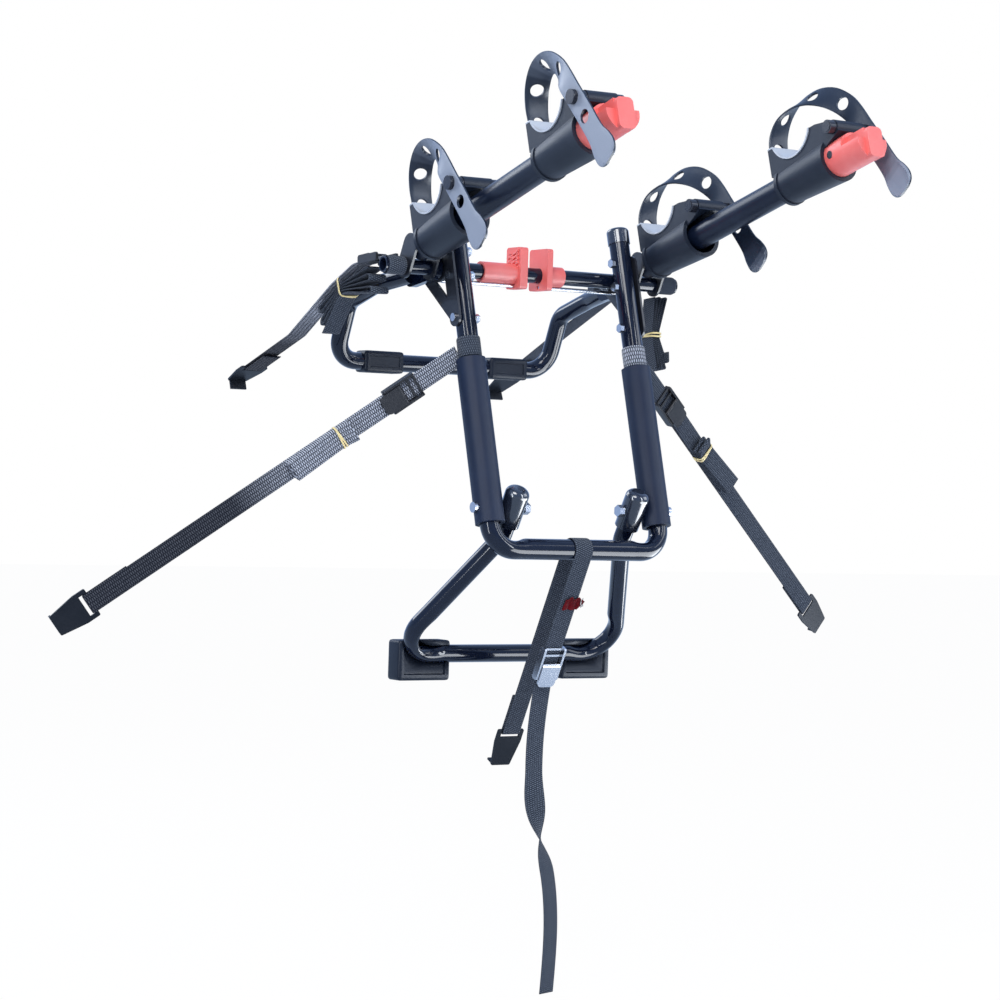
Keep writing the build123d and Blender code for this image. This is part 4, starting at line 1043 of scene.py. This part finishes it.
# Rubber bands: cream natural rubber, wound twice round the waist of each hank and the strap that
# it lies on, so that each turn crosses the other at a slant.
cream_rubber = grained_finish(
    "cream_band_rubber", (0.88, 0.70, 0.30), (0.95, 0.85, 0.55),
    rough=(0.45, 0.60), scale=900.0, depth=0.2,
    Subsurface_Weight=0.1, Subsurface_Radius=(0.01, 0.007, 0.003), Subsurface_Scale=0.1
)
band_wide = 2.2 * mm
band_thick = 1.1 * mm
band_stand_off = 1.1
band_turns = ((-1, 1.3), (1, -1.0))
band_corner = 5
band_points = 48
side_fan_high, upper_fan_high = 1.9, 3.8
left_strap_off = 8.0
folds_thick = hank_folds * fold_pitch + half_layer


def band_round(name, place, sign, at, low, high):
    half_wide = webbing_wide / (2 * mm) + band_stand_off
    half_high = (high - low) / 2 + band_stand_off
    middle = (high + low) / 2
    loops = []
    for turn, slant in band_turns:
        points = []
        for k in range(band_points):
            angle = 2 * pi * k / band_points
            c, s = cos(angle), sin(angle)
            grow = 1 / (abs(c) ** band_corner + abs(s) ** band_corner) ** (1 / band_corner)
            points.append((at + turn + slant * c, half_wide * c * grow, middle + half_high * s * grow))
        line = lay(place, points, sign)
        along = mirrored(place[1], sign)
        loops.append(strip_of_webbing(
            f"{name}_{turn}", line, along, cream_rubber, band_wide, band_thick, ring=True
        ))
    return join_pieces(name, loops)


side_top = folds_thick + side_fan_high
upper_top = folds_thick + upper_fan_high
bands = [
    band_round("side_band_right", side_place, 1, side_band_at, -half_layer, side_top),
    band_round("side_band_left", side_place, -1, side_band_at, -half_layer, side_top),
    band_round("upper_band_left", left_place, -1, left_band_at, -left_strap_off, upper_top),
    band_round("upper_band_right", right_place, 1, right_band_at, fold_pitch - half_layer, upper_top)
]
for band in bands:
    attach(band, "frame")
    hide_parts("rubber_bands")

# Bottom strap: one length of webbing from its hook, where it is turned back and stitched, up
# behind the foot frame, over the crossbar and down to the cam buckle.
bottom_tilt = radians(27)
bottom_hook_at, bottom_stitch_to, bottom_buckle_at = 271, 216, 172
bar_centre = Vector((0, -crossbar_back, crossbar_rise)) * mm
bottom_place = strap_place(bar_centre, (0, sin(bottom_tilt), -cos(bottom_tilt)), (0, -1, 0))
wrap = round_main_tube
under = -wrap - layer_apart
bottom_points = (
    (bottom_stitch_to, 0, under), (bottom_hook_at, 0, under), (bottom_hook_at, 0, -wrap),
    (-wrap, 0, -wrap), (-wrap, 0, wrap), (bottom_buckle_at, 0, wrap)
)
bar_turn = wrap * 0.99
bar_turn_fine = 14
bottom_bends = (hook_turn, hook_turn, bar_turn, bar_turn)
bottom_line = refine(rounded(bottom_points, bottom_bends, bar_turn_fine), route_step)
bottom_laid = lay(bottom_place, bottom_line)
bottom_strap = strip_of_webbing("bottom_strap_webbing", bottom_laid, rightward, black_webbing)
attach(bottom_strap, "frame")
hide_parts("bottom_webbing")

# Tag: a folded scrap of plain dark red cloth, crumpled and with a pale end. It is sewn across
# the bottom strap, a little off the strap's middle.
# The tag cloth uses the ribbed weave too: painted sheen on its ribs, painted shade in its gaps.
cloth_rib = 1.1 * mm
tag_cloth, pale_cloth = (
    webbing_finish(name, gap_shade, rib_sheen, depth=relief, rib=cloth_rib, row=cloth_rib)
    for name, gap_shade, rib_sheen, relief in (
        ("dark_red_tag", (0.09, 0.003, 0.006), (0.24, 0.008, 0.014), 0.5),
        ("pale_tag_end", (0.45, 0.44, 0.42), (0.75, 0.74, 0.72), 0.4)
    )
)
tag_wide, tag_thick = 15 * mm, 0.8 * mm
tag_end_wide, tag_end_thick = 14 * mm, 0.9 * mm
tag_at, tag_aside, tag_off = 66, 6.5, 1.9
tag_rows, red_rows, tag_row_pitch = 15, 13, 2.0
broad_crumple, broad_rate = 1.3, 1.25
small_crumple, small_rate, small_start = 0.8, 2.6, 1.0
along_share, out_share = 1.2, 0.8
tag_points = []
for k in range(tag_rows):
    crumple = broad_crumple * sin(k * broad_rate) + small_crumple * sin(k * small_rate + small_start)
    aside = tag_aside + (k - tag_rows // 2) * tag_row_pitch
    out = wrap + half_layer + tag_off + crumple * out_share
    tag_points.append((tag_at + crumple * along_share, aside, out))
tag_line = lay(bottom_place, tag_points)
tag_across = bottom_place[1]
red_part, pale_part = tag_line[:red_rows], tag_line[red_rows - 1:]
tag = strip_of_webbing("strap_tag", red_part, tag_across, tag_cloth, tag_wide, tag_thick)
tag_end = strip_of_webbing("strap_tag_end", pale_part, tag_across, pale_cloth, tag_end_wide, tag_end_thick)
tag = join_pieces("strap_tag", [tag, tag_end])
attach(tag, "frame")
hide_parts("warning_tag")

# Floor and sky: a pale studio floor under a broad white sky. Both are plain white to the camera,
# and pale blue where the paint and plastic reflect them.
floor_below = 4 * mm
floor_half = 14.0
floor_glow_share = 0.97
white_all = (1, 1, 1, 1)
floor_mesh = bmesh.new()
bmesh.ops.create_grid(floor_mesh, x_segments=2, y_segments=2, size=floor_half)
floor = piece_of("floor", floor_mesh)
floor.location = (0, 0, cad_box[0][2] - floor_below)
floor_paint, tree, shader = finish_of("pale_floor", Roughness=0.9, Base_Color=(0.9, 0.9, 0.91, 1))


# One where a ray comes from the camera, straight or through clear stuff
def seen_directly(tree, ray):
    return calc(tree, "MAXIMUM", ray.outputs["Is Camera Ray"], ray.outputs["Is Transmission Ray"])


ray = tree.nodes.new("ShaderNodeLightPath")
glow = tree.nodes.new("ShaderNodeEmission")
floor_white = mixed(tree, ray.outputs["Is Camera Ray"], (0.55, 0.72, 1.0, 1), white_all)
tree.links.new(floor_white, glow.inputs["Color"])
blend = tree.nodes.new("ShaderNodeMixShader")
seen_at_all = calc(tree, "MAXIMUM", seen_directly(tree, ray), ray.outputs["Is Glossy Ray"])
glowing = calc(tree, "MULTIPLY", seen_at_all, floor_glow_share)
tree.links.new(glowing, blend.inputs[0])
tree.links.new(shader.outputs[0], blend.inputs[1])
tree.links.new(glow.outputs[0], blend.inputs[2])
tree.links.new(blend.outputs[0], tree.nodes["Material Output"].inputs["Surface"])
floor.data.materials.append(floor_paint)
world = bpy.data.worlds.new("studio")
bpy.context.scene.world = world
world.use_nodes = True
sky = world.node_tree
soft_light = sky.nodes["Background"]
soft_light.inputs["Color"].default_value = (0.62, 0.72, 0.95, 1)
soft_light.inputs["Strength"].default_value = 0.55
white = sky.nodes.new("ShaderNodeBackground")
ray = sky.nodes.new("ShaderNodeLightPath")
directly = seen_directly(sky, ray)
sky_white = mixed(sky, directly, (0.42, 0.60, 1.0, 1), white_all)
sky.links.new(sky_white, white.inputs["Color"])
choose = sky.nodes.new("ShaderNodeMixShader")
seen_at_all = calc(sky, "MAXIMUM", directly, ray.outputs["Is Glossy Ray"])
sky.links.new(seen_at_all, choose.inputs[0])
sky.links.new(soft_light.outputs[0], choose.inputs[1])
sky.links.new(white.outputs[0], choose.inputs[2])
sky.links.new(choose.outputs[0], sky.nodes["World Output"].inputs["Surface"])

# Lamps: three soft lamps, and three bright cards that are seen only in reflections, where they
# draw the long white lines on the gloss tubes.
aimed_at = Vector((0, -0.1, 0.3))
for name, spot, size, power, colour in (
    ("key_lamp", (-1.6, -1.8, 2.4), (1.4, 1.4), 68, (1, 1, 1)),
    ("fill_lamp", (2.4, -1.6, 1.4), (1.6, 1.6), 28, (0.92, 0.96, 1)),
    ("rim_lamp", (-1.2, 2.2, 1.8), (1.6, 1.6), 40, (0.9, 0.95, 1)),
    ("left_card", (-2.3, -0.9, 0.5), (0.2, 2.2), 30, (0.9, 0.95, 1)),
    ("right_card", (0.9, -2.6, 0.9), (0.2, 2.2), 30, (0.9, 0.95, 1)),
    ("low_card", (0.50, -0.50, -0.38), (1.3, 0.9), 38, (0.92, 0.96, 1))
):
    lamp = bpy.data.lights.new(name, "AREA")
    lamp.energy = power
    lamp.shape = "RECTANGLE"
    lamp.size, lamp.size_y = size
    lamp.color = colour
    held = bpy.data.objects.new(name, lamp)
    held.location = spot
    if name.endswith("card"):
        held.visible_camera = False
        held.visible_diffuse = False
    held.rotation_euler = (aimed_at - Vector(spot)).to_track_quat("-Z", "Y").to_euler()
    bpy.context.scene.collection.objects.link(held)
